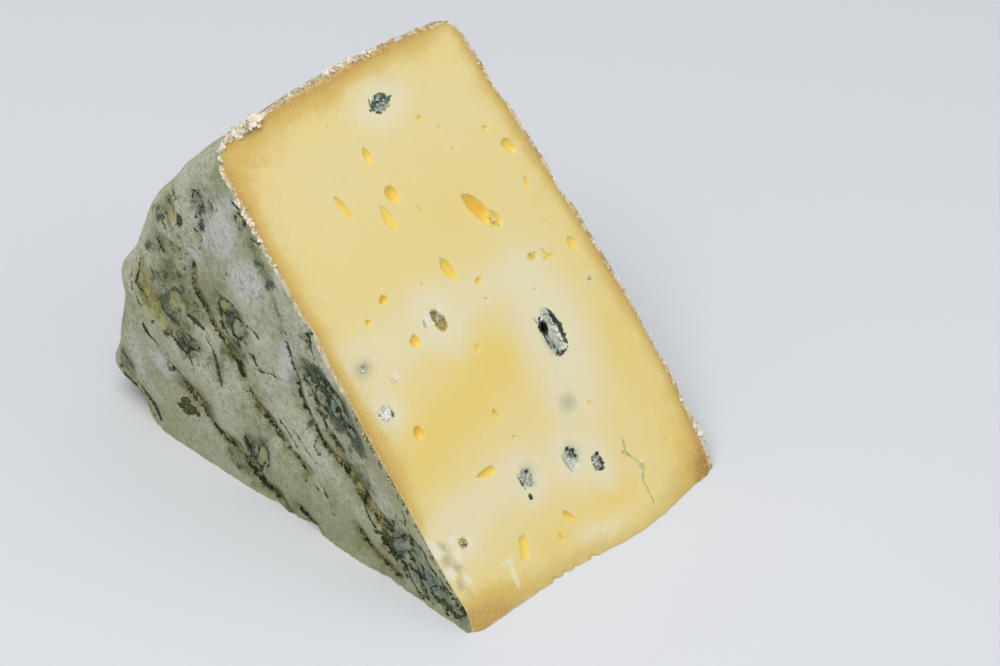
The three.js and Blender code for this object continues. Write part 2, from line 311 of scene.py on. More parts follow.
# Marks on the creased face, by Y and Z. A crease is a split with a darker floor, a lobe is a raised
# fold of skin with a dark outline, and a line is a hairline of mould.
creasedMarks = {
    "crease": [
        *chain([(57.2, 41.5), (56, 38), (53.6, 33.4), (51, 29.6), (47.4, 26.6)], [0.25, 0.5, 0.6, 0.7, 0.8]),
        *chain([(47.4, 26.6), (44, 25.2), (41.2, 24.2), (39.4, 22.2), (36.2, 18.6)],
               [0.8, 0.9, 0.8, 0.9, 1.3]),
        *chain([(36.2, 18.8), (33.6, 17.5), (30.8, 15.4), (28.4, 13.8)], [1.3, 1.0, 1.1, 0.6]),
        *chain([(50, 36.5), (48.4, 33.2), (45.4, 31.3), (43.2, 29.4)], [0.2, 0.4, 0.5, 0.3]),
        *chain([(91.6, 58), (92.2, 53), (91, 50), (88, 47), (85.9, 43.4)], [0.2, 0.9, 0.8, 1.0, 0.8]),
        *chain([(85.9, 43.4), (83.4, 40.2), (80.4, 38), (77.8, 36), (75.4, 33)], [0.7, 0.5, 0.5, 0.8, 0.3]),
        *chain([(74, 30.6), (72.4, 27.6), (67, 24.6), (65.9, 23.4), (61.9, 19.3)], [0.3, 0.6, 0.9, 0.6, 0.6]),
        *chain([(60, 18.6), (57.4, 17), (56.6, 15.4)], [0.2, 0.6, 0.3]),
        *chain([(97.6, 18.2), (95.6, 17), (93, 15.8), (89.2, 12.8)], [0.5, 1.0, 1.2, 0.6]),
        *chain([(88.4, 12.2), (85.4, 10.8), (83.6, 9.6), (80.4, 9.6), (78.6, 7.6)],
               [0.4, 0.4, 0.6, 0.9, 0.5]),
        *chain([(78.4, 7.4), (74, 4.6), (70.6, 3.4), (66, 2)], [0.3, 0.6, 0.7, 0.4]),
        *chain([(58.4, 3), (56, 2), (53, 0.9)], [0.5, 0.7, 0.3]),
        *chain([(38, 8.6), (36, 6.6), (33.6, 5.2), (31.4, 4.2)], [0.4, 0.6, 0.3, 0.2]),
        *chain([(31, 4.4), (28, 3), (25.6, 2.6)], [0.4, 0.9, 0.5]),
    ],
    "blue": [
        blob(46.6, 42.0, 10.5, 4.6, 42),
        blob(40, 37.5, 5.5, 2.6, 46),
        blob(26.5, 14.4, 3.6, 3.0, 20),
        blob(20, 11.5, 6.5, 4.6, 42),
        blob(13, 6.5, 7, 3.2, 40),
        blob(6.4, 4.4, 4, 2.6, 40),
        blob(101.6, 42.6, 1.4, 2.6, 20),
        blob(79.6, 47.4, 1.2, 2.0, 10),
        blob(53.6, 30.8, 1.2, 1.8, 30),
        blob(73.6, 11.6, 1.5, 2.6, 20),
    ],
    "lobe": [
        blob(52.6, 43.0, 3.4, 0.8, 52),
        blob(49.9, 41.0, 2.3, 1.3, 50),
        blob(49.6, 37.6, 1.5, 1.0, 40),
        blob(48.9, 45.2, 3.0, 0.8, 38),
        blob(45.2, 43.6, 3.4, 0.8, 42),
        blob(45.0, 40.2, 3.0, 1.2, 42),
        blob(41.2, 40.8, 2.6, 1.0, 44),
        blob(40.0, 36.8, 2.0, 1.1, 48),
        blob(25.4, 16.9, 2.0, 1.4, 60),
        blob(24.2, 12.3, 4.4, 1.5, -28),
        blob(21.4, 8.4, 3.4, 1.4, 45),
        blob(17.2, 12.9, 5.0, 2.0, 50),
        blob(15.0, 7.6, 3.8, 1.6, 45),
        blob(19.6, 4.7, 4.0, 1.4, 38),
        blob(12.0, 4.0, 3.0, 1.2, 42),
        blob(7.4, 5.2, 3.0, 1.4, 50),
        blob(12.4, 9.4, 3.4, 1.3, 45),
        blob(27.6, 10.8, 3.0, 1.1, 42),
        blob(73.6, 11.4, 1.0, 2.3, 14),
        blob(70.6, 11.2, 1.4, 3.4, 14),
        blob(101, 22.1, 1.1, 0.9, 0),
        blob(80.2, 51.0, 2.6, 1.7, -20),
        blob(76.2, 47.0, 2.0, 2.6, 30),
        blob(73.2, 79.0, 1.3, 2.0, 20),
        blob(88.1, 78.2, 0.7, 1.7, 25),
        blob(87.0, 75.0, 0.6, 1.4, 25),
        blob(117.6, 9.2, 2.4, 1.6, 30),
        blob(81.6, 9.6, 1.5, 0.9, 10),
    ],
    "ochre": [
        *chain([(109.4, 50), (109.4, 44), (107.6, 39.4), (105, 36), (101.4, 34.2)],
               [1.2, 2.8, 3.4, 2.8, 1.6]),
        blob(98.2, 43.6, 1.7, 2.6, 10),
        blob(80.2, 51.0, 2.1, 1.4, -20),
        *chain([(70.4, 15), (69.8, 12), (70.8, 9.2)], [0.5, 0.8, 0.5]),
        blob(117.6, 9.2, 2.2, 1.4, 30),
        *chain([(115, 7.4), (112, 5), (109.6, 3.2)], [0.5, 1.2, 0.6]),
        blob(54.9, 15.8, 0.9, 1.7, 30),
        blob(50.6, 26.6, 0.6, 1.3, 0),
        *chain([(97.6, 71.6), (96, 74.4)], [0.6, 0.3]),
        blob(97.2, 69.4, 1.4, 2.2, 10),
        *chain([(99.4, 66.4), (98.2, 64.6), (95.8, 63)], [0.5, 0.9, 0.4]),
        *chain([(97.2, 60.2), (95.2, 57.6), (94.8, 55.6)], [0.4, 0.6, 0.2]),
        *chain([(95.2, 58.2), (93.4, 60.4)], [0.5, 0.2]),
        blob(88.2, 67, 0.8, 1.5, 10),
        *chain([(83.6, 82.6), (82.4, 80.4), (81.6, 78.6)], [0.4, 0.6, 0.3]),
    ],
    "green": [
        *chain([(104.8, 46.6), (103, 41.4), (99, 38.4), (95, 37.4)], [2.0, 3.0, 3.2, 2.2]),
        blob(79, 40, 5, 4, 20),
        blob(37, 25, 6, 3, 45),
        blob(92, 17, 5, 2.6, 30),
        blob(76, 7, 6, 3, 30),
        blob(66, 3, 5, 2.4, 20),
        blob(78, 48.4, 5.6, 4.4, 20),
        blob(95, 33, 7, 3.2, 10),
        blob(84, 31, 2.4, 4.6, 10),
        blob(71.6, 13, 4.4, 5.2, 20),
        blob(46, 41.4, 12, 6, 42),
        blob(22, 12, 10, 5, 40),
        blob(103, 58, 2.6, 4.2, 30),
        *chain([(102.2, 65), (98.6, 70)], [1.4, 1.4]),
        blob(86.6, 76, 2.4, 4.6, 10),
        *chain([(69.5, 73), (66.5, 69.5), (64.5, 65), (62.5, 60.5), (60.6, 54.5)], [0.8, 1.2, 1.3, 1.1, 0.4]),
        *chain([(82.6, 50.2), (81.8, 46.4), (80.4, 43.6), (78.6, 40.8)], [0.3, 0.9, 0.9, 0.3]),
        blob(52.2, 56, 1.2, 4.4, 10),
        blob(94, 46, 4, 3, 30),
        blob(99, 50, 3, 4, 20),
        blob(118, 14, 3, 3, 0),
    ],
    "pale": [
        blob(66.2, 36.8, 2.4, 1.4, -40),
        blob(82, 73, 8, 9, 0),
        blob(91, 60, 3.6, 5, 20),
        blob(113, 18, 3, 7, -10),
        blob(76, 83, 4, 2.5, -40),
        blob(72, 62, 6, 7, 20),
        blob(60, 46, 3, 8, 20),
        blob(104, 22, 5, 2.6, 30),
        blob(108, 12, 5, 2.6, 30),
        blob(52.6, 28.4, 0.8, 3.4, 14),
        blob(62, 68, 2, 4, 20),
    ],
    "dark": [
        blob(96.2, 12.0, 3.2, 1.6, -12),
        *chain([(99.4, 11), (97.2, 14), (92.2, 11.6)], [0.2, 0.9, 0.3]),
        *chain([(114, 10), (110.6, 8), (108.2, 6.2), (106.6, 3.2)], [0.4, 0.8, 1.3, 0.8]),
        *chain([(94.8, 42.4), (92, 41.4), (88.4, 40.4)], [0.4, 0.8, 0.4]),
        *chain([(74, 6.8), (70, 5), (65, 3.4)], [0.3, 0.9, 0.6]),
        blob(35.4, 20.4, 1.6, 1.3, 30),
        *chain([(103.4, 58.8), (101, 56)], [0.4, 0.6]),
        blob(94.4, 68.6, 1.2, 1.6, 20),
        *chain([(72.6, 49.8), (70.4, 48.6), (67.8, 48)], [0.2, 0.45, 0.1]),
        blob(40.4, 36.2, 1.4, 0.9, 40),
        *chain([(32, 12), (28.4, 11.4), (26, 9.4)], [0.4, 1.0, 0.5]),
        *chain([(12.6, 3.6), (9.2, 3.2), (6, 2)], [1.0, 1.0, 0.5]),
        *chain([(11.6, 8), (9.6, 8.6), (8.4, 7.6)], [0.7, 0.6, 0.2]),
    ],
    "line": [
        *chain([(59.6, 51.8), (58.8, 49.2), (57.9, 46.6), (56.8, 44.8), (56.4, 41.8)],
               [0.5, 0.35, 0.3, 0.3, 0.2]),
        *chain([(53.4, 50), (51, 47.2), (50.2, 44)], [0.15, 0.3, 0.2]),
        *chain([(105, 40.6), (101, 37.2), (97, 36.6)], [0.2, 0.4, 0.3]),
        *chain([(110.6, 49), (111.2, 42), (108.4, 37.4)], [0.15, 0.3, 0.2]),
        *chain([(110.2, 30), (107.8, 27.6), (104.4, 26)], [0.7, 0.5, 0.2]),
        *chain([(103.6, 25.4), (98.4, 22), (95.8, 19.6)], [0.12, 0.2, 0.25]),
        *chain([(100.4, 32.2), (98, 30.8), (95.6, 29.4), (93.6, 31), (90.2, 32)], [0.3, 0.6, 0.5, 0.6, 0.15]),
        *chain([(97.4, 34), (95.8, 31.4), (93.4, 28), (92.6, 26)], [0.15, 0.4, 0.3, 0.1]),
        *chain([(94, 35.6), (91.4, 33.4), (89.2, 33.6)], [0.15, 0.3, 0.1]),
        *chain([(85.4, 35), (84, 31.6), (83.4, 28), (82, 25.4)], [0.2, 0.25, 0.3, 0.12]),
        *chain([(88, 38.6), (85.8, 36.8), (84.2, 33)], [0.1, 0.22, 0.15]),
        *chain([(72.4, 41.8), (70.8, 41.8), (70.4, 40), (69.4, 39.4)], [0.2, 0.35, 0.3, 0.15]),
        *chain([(70.2, 38.2), (68.6, 38.8), (66.8, 39.2), (61.8, 40)], [0.15, 0.4, 0.14, 0.1]),
        *chain([(75.8, 15.4), (75.2, 12.4), (73.6, 9.2), (71.2, 7.2)], [0.3, 0.4, 0.3, 0.15]),
        *chain([(69.8, 17.4), (68.3, 14.5), (68.1, 10.6), (69.6, 7.4)], [0.15, 0.25, 0.3, 0.15]),
        *chain([(82.7, 54.9), (81.4, 53.4)], [0.3, 0.25]),
        *chain([(88.0, 70.9), (86.0, 70.6)], [0.4, 0.25]),
        *chain([(78.7, 61.8), (78.6, 61.2)], [0.4, 0.35]),
        *chain([(89, 68.2), (88.6, 67.8)], [0.35, 0.3]),
        *chain([(76.4, 83.4), (74.4, 83), (72.8, 82)], [0.3, 0.45, 0.2]),
        *chain([(69.6, 76), (67.4, 76)], [0.3, 0.3]),
        *chain([(65.2, 77.6), (63.8, 75.2), (61.2, 71)], [0.3, 0.35, 0.12]),
        *chain([(61, 70), (58.8, 69.6)], [0.35, 0.3]),
        *chain([(51.8, 60.2), (51.6, 58)], [0.4, 0.3]),
        *chain([(52.8, 57.8), (51.8, 54.2), (50.8, 52.2)], [0.6, 0.3, 0.45]),
        *chain([(84.6, 52.4), (80.6, 53.4), (76.8, 53)], [0.15, 0.3, 0.2]),
        *chain([(82.6, 49.4), (82.2, 45.6), (79.2, 41.6)], [0.3, 0.5, 0.3]),
        *chain([(77.8, 45), (76.4, 42.6), (77, 40.6)], [0.2, 0.3, 0.1]),
        *chain([(63.4, 27.6), (60.4, 24.6), (58, 20.6), (54, 17)], [0.1, 0.2, 0.14, 0.1]),
        *chain([(58, 26.4), (54.6, 22.6), (51.4, 21)], [0.1, 0.25, 0.1]),
        *chain([(51, 15.4), (48.6, 13.4), (46.8, 11.4)], [0.2, 0.3, 0.1]),
        *chain([(52.2, 13.6), (51.4, 13.2)], [0.35, 0.3]),
        *chain([(46.8, 9), (46.2, 8.8)], [0.35, 0.3]),
        *chain([(37.4, 21.4), (36.6, 17), (32.4, 12.4)], [0.4, 0.3, 0.2]),
        *chain([(33.4, 19.4), (29.8, 17), (27.8, 15)], [0.2, 0.35, 0.2]),
        *chain([(24.2, 20.6), (22.4, 20.2), (22, 22), (23.4, 24.4)], [0.4, 0.45, 0.3, 0.1]),
        *chain([(21, 17.4), (17, 15.2), (13.6, 11.6), (12.4, 10)], [0.5, 0.35, 0.5, 0.2]),
        *chain([(30.2, 10.8), (26, 8.6), (22, 6.6), (18, 2.6)], [0.6, 0.5, 0.3, 0.3]),
        *chain([(22, 8.6), (18.6, 6.6), (15, 6.2), (13, 7.6)], [0.3, 0.5, 0.2, 0.1]),
        *chain([(10.6, 7), (8.6, 4.8), (5.6, 4.2)], [0.15, 0.3, 0.12]),
        *chain([(8.2, 8.2), (5.6, 6), (4.2, 4.2)], [0.2, 0.25, 0.3]),
    ],
}


def scatteredMarks(seed, aRange, bRange, creases, blobs, lean):
    # the same kinds of mark on a side with no set pattern, leaning one way as cloth folds do
    pick = np.random.default_rng(seed)
    marks = {kind: [] for kind in creasedMarks}
    for kind, number, step, widest in (("crease", creases, 6.5, 0.9), ("line", 2 * creases, 3.2, 0.4)):
        for _ in range(number):
            places = [(pick.uniform(*aRange), pick.uniform(*bRange))]
            halves = [0.3 * widest]
            angle = lean + pick.normal(0, 10 if kind == "crease" else 30)
            for _ in range(int(pick.integers(2, 6))):
                turned = math.radians(angle + pick.normal(0, 16))
                length = step * pick.uniform(0.6, 1.3)
                last = places[-1]
                places.append((last[0] + length * math.cos(turned), last[1] + length * math.sin(turned)))
                halves.append(widest * pick.uniform(0.5, 1.1))
            halves[-1] = 0.3 * widest
            marks[kind] += chain(places, halves)
            if kind == "crease":
                marks["green"].append(blob(*places[1], pick.uniform(2, 5), pick.uniform(2, 4), lean))
                if pick.random() < 0.4:
                    marks["ochre"].append(blob(*places[-2], 2.4, 1.1, lean))
    for kind, least, most in (("green", 4, 10), ("blue", 2, 6), ("pale", 4, 10), ("dark", 0.8, 2.2)):
        for _ in range(blobs):
            a, b = pick.uniform(*aRange), pick.uniform(*bRange)
            wide = pick.uniform(least, most)
            marks[kind].append(blob(a, b, wide, wide * pick.uniform(0.4, 0.8), lean))
            if kind == "blue":
                for shift in (-0.45, 0, 0.45):
                    lobeA, lobeB = a + shift * wide * 0.5, b + pick.uniform(-1, 1)
                    marks["lobe"].append(blob(lobeA, lobeB, wide * 0.4, wide * 0.14, lean))
    return marks


smoothMarks = scatteredMarks(11, (10, 115), (2, 80), 13, 6, 38)
wallMarks = scatteredMarks(5, (4, 104), (6, 70), 10, 5, 78)


def rindSides(points):
    # for the creased face, the smooth face and the wall: marks, flat coordinates and distance off it
    x = plainX(points)
    radius, turn = wheelPlace(points)
    arc = turn * cutAngle * wheel["radius"]
    reach = rind["faceReach"]
    offCreased = np.clip(x - reach, 0, None)
    offSmooth = np.clip(wheel["height"] - reach - x, 0, None)
    offWall = np.clip(wheel["radius"] - reach - radius, 0, None)
    faceA, faceB = wander(points[:, 1], points[:, 2], 61)
    wallA, wallB = wander(arc, x, 71)
    return (
        (creasedMarks, faceA, faceB, offCreased),
        (smoothMarks, faceA, faceB, offSmooth),
        (wallMarks, wallA, wallB, offWall),
    )


def rindGaps(points):
    # for each kind of mark, the distance to the nearest one, negative inside it
    sides = rindSides(points)
    gaps = {}
    for kind in creasedMarks:
        if kind != "line":
            gaps[kind] = np.min([marksGap(marks[kind], a, b) + off for marks, a, b, off in sides], axis=0)
    return gaps


def rindLines(points, kind):
    # distance across the nearest stroke of a kind and its half-width
    across, width = np.full(len(points), 50.0), np.full(len(points), -50.0)
    for marks, a, b, off in rindSides(points):
        strokes = [mark for mark in marks[kind] if "start" in mark]
        sideAcross, sideWidth = lineField(strokes, a, b)
        sideWidth = sideWidth - off
        closer = np.abs(sideAcross) - sideWidth < np.abs(across) - width
        across = np.where(closer, sideAcross, across)
        width = np.where(closer, sideWidth, width)
    return across, width


# Lumps on the rim of the creased face: turn from the floor in degrees, radius, size and height.
rimLumps = [
    (19.5, 124, 5.5, 1.6),
    (4.4, 125.5, 5.0, 1.6),
    (-0.6, 119.5, 8.0, -5.5),
    (32.0, 124, 7.0, 0.8),
    (40.0, 123, 5.0, 0.6),
    (45.0, 122, 5.0, 0.8),
]


def rindRelief(points):
    # how far each point of the skin sinks into the cheese
    gaps = rindGaps(points)
    ragged = layeredNoise(points, 1.8, 3, 2) * 0.45
    crease = gaps["crease"] + ragged
    sunk = 0.3 * rind["creaseDepth"] * softStep(0.5, -0.5, crease)
    sunk -= 0.3 * np.exp(-((gaps["crease"] - 2.6) / 1.4) ** 2)
    sunk += 0.5 * softStep(0.6, -0.6, gaps["dark"] + ragged)
    crinkled = softStep(0.8, -0.8, gaps["blue"])
    sunk += crinkled * 0.7 * (np.abs(layeredNoise(points, 3.4, 7, 2)) - 0.2)
    sunk += 0.3 * np.exp(-((gaps["lobe"] - 0.1) / 0.4) ** 2) - 0.4 * softStep(0, -0.8, gaps["lobe"])
    across, width = rindLines(points, "line")
    sunk += 0.35 * softStep(0.5, -0.3, np.abs(across) - width)
    sunk += 0.1 * layeredNoise(points, 3.2, 2, 2) + 0.06 * layeredNoise(points, 1.3, 12, 1)
    chips = layeredNoise(points, 4.2, 19, 3) + 0.5 * layeredNoise(points, 14, 29, 2)
    edge = np.clip(cutDepth(points), 0, None)
    sunk += rind["chipDepth"] * np.exp(-edge / 0.8) * softStep(0.0, 0.5, chips)
    return softRelief(points) + np.clip(sunk, -1.0, rind["thickness"] - 0.22)


def cutDepth(points):
    # distance into the cheese from the nearer knife cut
    y, z = points[:, 1], points[:, 2]
    return np.minimum(y * math.sin(cutAngle) - z * math.cos(cutAngle), z)


def settled(points, inset, detailed):
    # where points of a plain wheel lie once it has its crown and the skin's relief
    radius, turn = wheelPlace(points)
    x = points[:, 0]
    sunk = rindRelief(points) if detailed else softRelief(points, 0.5 if inset else 0.0)
    onCreased = softStep(14, 2, x)
    onSmooth = softStep(wheel["height"] - 14, wheel["height"] - 2, x)
    onWall = softStep(wheel["radius"] - 12 - inset, wheel["radius"] - 3 - inset, radius)
    moved = points.copy()
    moved[:, 0] -= smoothFaceShift(x, radius, turn)
    moved[:, 0] += (onCreased - onSmooth) * sunk
    stretch = 1 - onWall * sunk / np.maximum(radius, 1)
    moved[:, 1] = centreY + (moved[:, 1] - centreY) * stretch
    moved[:, 2] = centreZ + (moved[:, 2] - centreZ) * stretch
    return moved


def settleWheel(mesh, inset, detailed):
    setMeshPoints(mesh, settled(meshPoints(mesh), inset, detailed))


def softRelief(points, spare=0.0):
    # the skin's relief without its fine detail, sunk a little further by spare under the creases
    gaps = rindGaps(points)
    beside = np.clip(gaps["crease"], 0, None)
    sunk = rind["valleyDepth"] * np.exp(-(beside / rind["valleyWidth"]) ** 2)
    sunk += (
        0.7 * rind["creaseDepth"] * softStep(0.8, -0.8, gaps["crease"])
        + spare * softStep(3, 0.5, gaps["crease"])
    )
    sunk += 0.9 * softStep(1.5, -2, gaps["ochre"]) + 0.9 * softStep(3, -5, gaps["green"])
    sunk += 0.5 * softStep(1.5, -1, gaps["blue"])
    sunk += 0.55 * layeredNoise(points, 22, 1, 2)
    x, y, z = points[:, 0], points[:, 1], points[:, 2]
    belowUpper = np.clip(y * math.sin(cutAngle) - z * math.cos(cutAngle), 0, None)
    sunk *= 1 - 0.75 * softStep(60, 78, x) * np.exp(-belowUpper / 7)
    onRim = softStep(24, 8, x)
    for turn, radius, size, height in rimLumps:
        lumpY, lumpZ = radius * math.cos(math.radians(turn)), radius * math.sin(math.radians(turn))
        sunk -= onRim * height * np.exp(-((y - lumpY) ** 2 + (z - lumpZ) ** 2) / size ** 2)
    return sunk


# sizes of the two knife cuts in millimetres
knife = {
    "spacing": 0.64,
    "reach": 148.0,
    "overrun": 5.0,  # how far the blank runs past the wheel on both sides
    "wave": 0.16,
}


def tipShift(x):
    # how far the tip edge stands back from its straight line, negative where it bulges out
    return 0.85 + 2.0 * np.exp(-(x / 2.2) ** 2) - 2.9 * np.exp(-((x - 55) / 17) ** 2)


def tipNicks(x):
    # small nicks broken out of the tip edge
    deep = np.zeros(len(x))
    for place, depth, width in (
        (27, 1.0, 0.7), (30.3, 0.8, 0.5), (33.4, 0.6, 0.5), (38.8, 1.1, 0.7), (81, 0.9, 1.2),
    ):
        deep += depth * np.exp(-((x - place) / width) ** 2)
    return deep


def refineRoundEyes(shape):
    # halves the spacing of the flat, unfolded cuts wherever an eye will be
    points = np.array([face.calc_center_median()[:2] for face in shape.faces])
    close = np.zeros(len(points), dtype=bool)
    for side, eyes in ((1, upperEyes + mouldyEyes), (-1, floorEyes + floorMouldyEyes)):
        for eye in eyes:
            mark = blob(eye[0], side * eye[1], eye[2] / 2 + 0.8, eye[3] / 2 + 0.8, -side * eye[5])
            close |= blobGap(mark, points[:, 0], points[:, 1]) < 0
    shape.faces.ensure_lookup_table()
    edges = {edge for index in np.flatnonzero(close) for edge in shape.faces[index].edges}
    bmesh.ops.subdivide_edges(shape, edges=list(edges), cuts=1, use_grid_fill=True)


def knifeBlank():
    # a closed prism over the wedge, with finely divided faces where the knife went
    shape = bmesh.new()
    width = wheel["height"] + 2 * knife["overrun"]
    across = round(width / knife["spacing"])
    along = 2 * round(knife["reach"] / knife["spacing"])
    bmesh.ops.create_grid(shape, x_segments=across, y_segments=along, size=0.5)
    bmesh.ops.scale(shape, vec=(width, 2 * knife["reach"], 1), verts=shape.verts)
    bmesh.ops.translate(shape, vec=(wheel["height"] / 2, 0, 0), verts=shape.verts)
    refineRoundEyes(shape)
    ends = [edge for edge in shape.edges if edge.is_boundary
            and abs(edge.verts[0].co.y - edge.verts[1].co.y) < 1e-6]
    bmesh.ops.bridge_loops(shape, edges=ends)
    sides = [edge for edge in shape.edges if edge.is_boundary]
    bmesh.ops.holes_fill(shape, edges=sides, sides=0)
    mesh = bpy.data.meshes.new("knifeBlank")
    shape.to_mesh(mesh)
    shape.free()
    flat = meshPoints(mesh)
    x, s = flat[:, 0], flat[:, 1]
    out = np.abs(s)
    upper = s > 0
    noise = layeredNoise(np.stack([x, s, 0 * s], axis=1), 24, 31, 2)
    lift = np.where(upper, knife["wave"] * noise, 0) * softStep(2, 12, out)
    folded = np.zeros_like(flat)
    folded[:, 0] = x
    folded[:, 1] = out * np.where(upper, math.cos(cutAngle), 1) - lift * math.sin(cutAngle)
    folded[:, 2] = out * np.where(upper, math.sin(cutAngle), 0) + lift * math.cos(cutAngle)
    shift = tipShift(x) + 0.25 * latticeNoise(flat * [1, 0, 0], 2.1, 41)
    folded[:, 1] += shift * np.exp(-out / np.where(shift > 0, 3.0, 8.0)) + tipNicks(x) * np.exp(-out / 0.9)
    setMeshPoints(mesh, folded)
    fixNormals(mesh)
    return mesh


def fixNormals(mesh):
    shape = bmesh.new()
    shape.from_mesh(mesh)
    bmesh.ops.recalc_face_normals(shape, faces=shape.faces)
    shape.to_mesh(mesh)
    shape.free()


# Eyes in the upper cut: x, distance up from the tip edge, width, length, depth, lean in degrees.
upperEyes = [
    (36.8, 106.4, 2.4, 4.4, 1.8, 2), (54.5, 107.5, 1.4, 1.6, 1.0, 0), (58.2, 103.5, 0.8, 2.5, 0.8, 10),
    (58.7, 97.5, 0.8, 1.5, 0.7, 0), (24.3, 98.5, 2.2, 6.6, 1.6, -11), (37.8, 95.8, 3.6, 4.6, 2.4, -5),
    (33.8, 91.4, 3.2, 7.0, 1.2, -4), (42.6, 89.3, 0.8, 2.5, 0.8, -10), (69.5, 97.9, 1.9, 1.8, 0.9, 0),
    (73.1, 91.8, 2.8, 4.6, 1.8, -12), (72.7, 82.2, 1.5, 3.0, 1.2, 10), (56.8, 83.2, 4.6, 10.6, 3.0, -17),
    (21.8, 76.2, 2.6, 2.3, 2.2, 0), (15.3, 73.5, 1.8, 2.3, 1.4, 0), (41.4, 74.3, 3.4, 6.4, 2.0, -6),
    (33.0, 74.6, 0.8, 1.2, 0.6, 0), (47.4, 68.5, 2.3, 1.8, 1.4, 0), (46.8, 63.9, 1.0, 1.2, 0.7, 0),
    (24.0, 64.3, 2.8, 3.4, 2.0, 10), (14.0, 59.2, 2.7, 2.0, 0.6, 30), (38.2, 55.3, 1.6, 3.3, 0.8, 10),
    (13.0, 46.4, 3.0, 3.6, 2.4, 0), (33.9, 40.4, 1.2, 2.8, 1.4, -10), (35.3, 33.5, 1.5, 1.0, 0.6, 0),
    (24.0, 30.3, 5.4, 3.2, 1.7, 8), (23.2, 11.0, 2.5, 5.8, 1.3, 24), (38.2, 11.0, 1.7, 3.8, 1.3, -27),
    (33.5, 7.8, 1.3, 2.6, 0.8, -10), (72.8, 12.5, 0.8, 1.7, 0.7, 0), (52.8, 2.6, 0.9, 1.0, 0.5, 0),
    (64.1, 66.8, 2.9, 2.2, 0.9, 0), (67.8, 65.2, 1.4, 5.0, 0.9, -20), (68.2, 64.6, 3.6, 1.4, 0.8, 0),
    (76.0, 64.3, 2.4, 4.4, 1.4, -3), (60.1, 59.7, 0.8, 1.3, 0.6, 0), (71.8, 72.0, 0.8, 1.3, 0.6, 0),
    (54.5, 41.0, 1.1, 0.7, 0.4, 0), (58.7, 30.3, 1.1, 2.2, 0.7, -20), (31.2, 116.4, 0.9, 1.1, 0.6, 0),
    (62.8, 10.9, 1.5, 1.9, 0.9, 0), (59.4, 78.8, 3.6, 5.4, 1.3, -32),
]

# Eyes with mould in them: the same, then how green the mould is, from 0 (grey) to 1.
mouldyEyes = [
    (46.9, 115.3, 5.8, 4.2, 0.6, 0, 0.6), (8.0, 54.0, 4.0, 3.6, 0.6, 0, -0.26),
    (32.5, 65.6, 3.4, 5.6, 1.2, -11, -1.0), (59.0, 49.6, 6.0, 11.4, 1.3, 4, -0.05),
    (32.9, 24.0, 3.4, 4.2, 0.6, 0, 0.1), (31.4, 19.9, 1.0, 1.5, 0.8, 0, 0.9),
    (46.4, 21.9, 3.4, 4.8, 0.5, 0, 0.0), (52.3, 17.8, 3.0, 4.2, 0.9, 0, 0.2),
    (9.3, 19.9, 2.3, 2.5, 0.35, 0, -0.6), (75.6, 55.2, 1.1, 0.9, 0.5, 0, 0.3),
    (57.7, 51.0, 2.9, 3.3, 7.0, 22, 1.0),
]

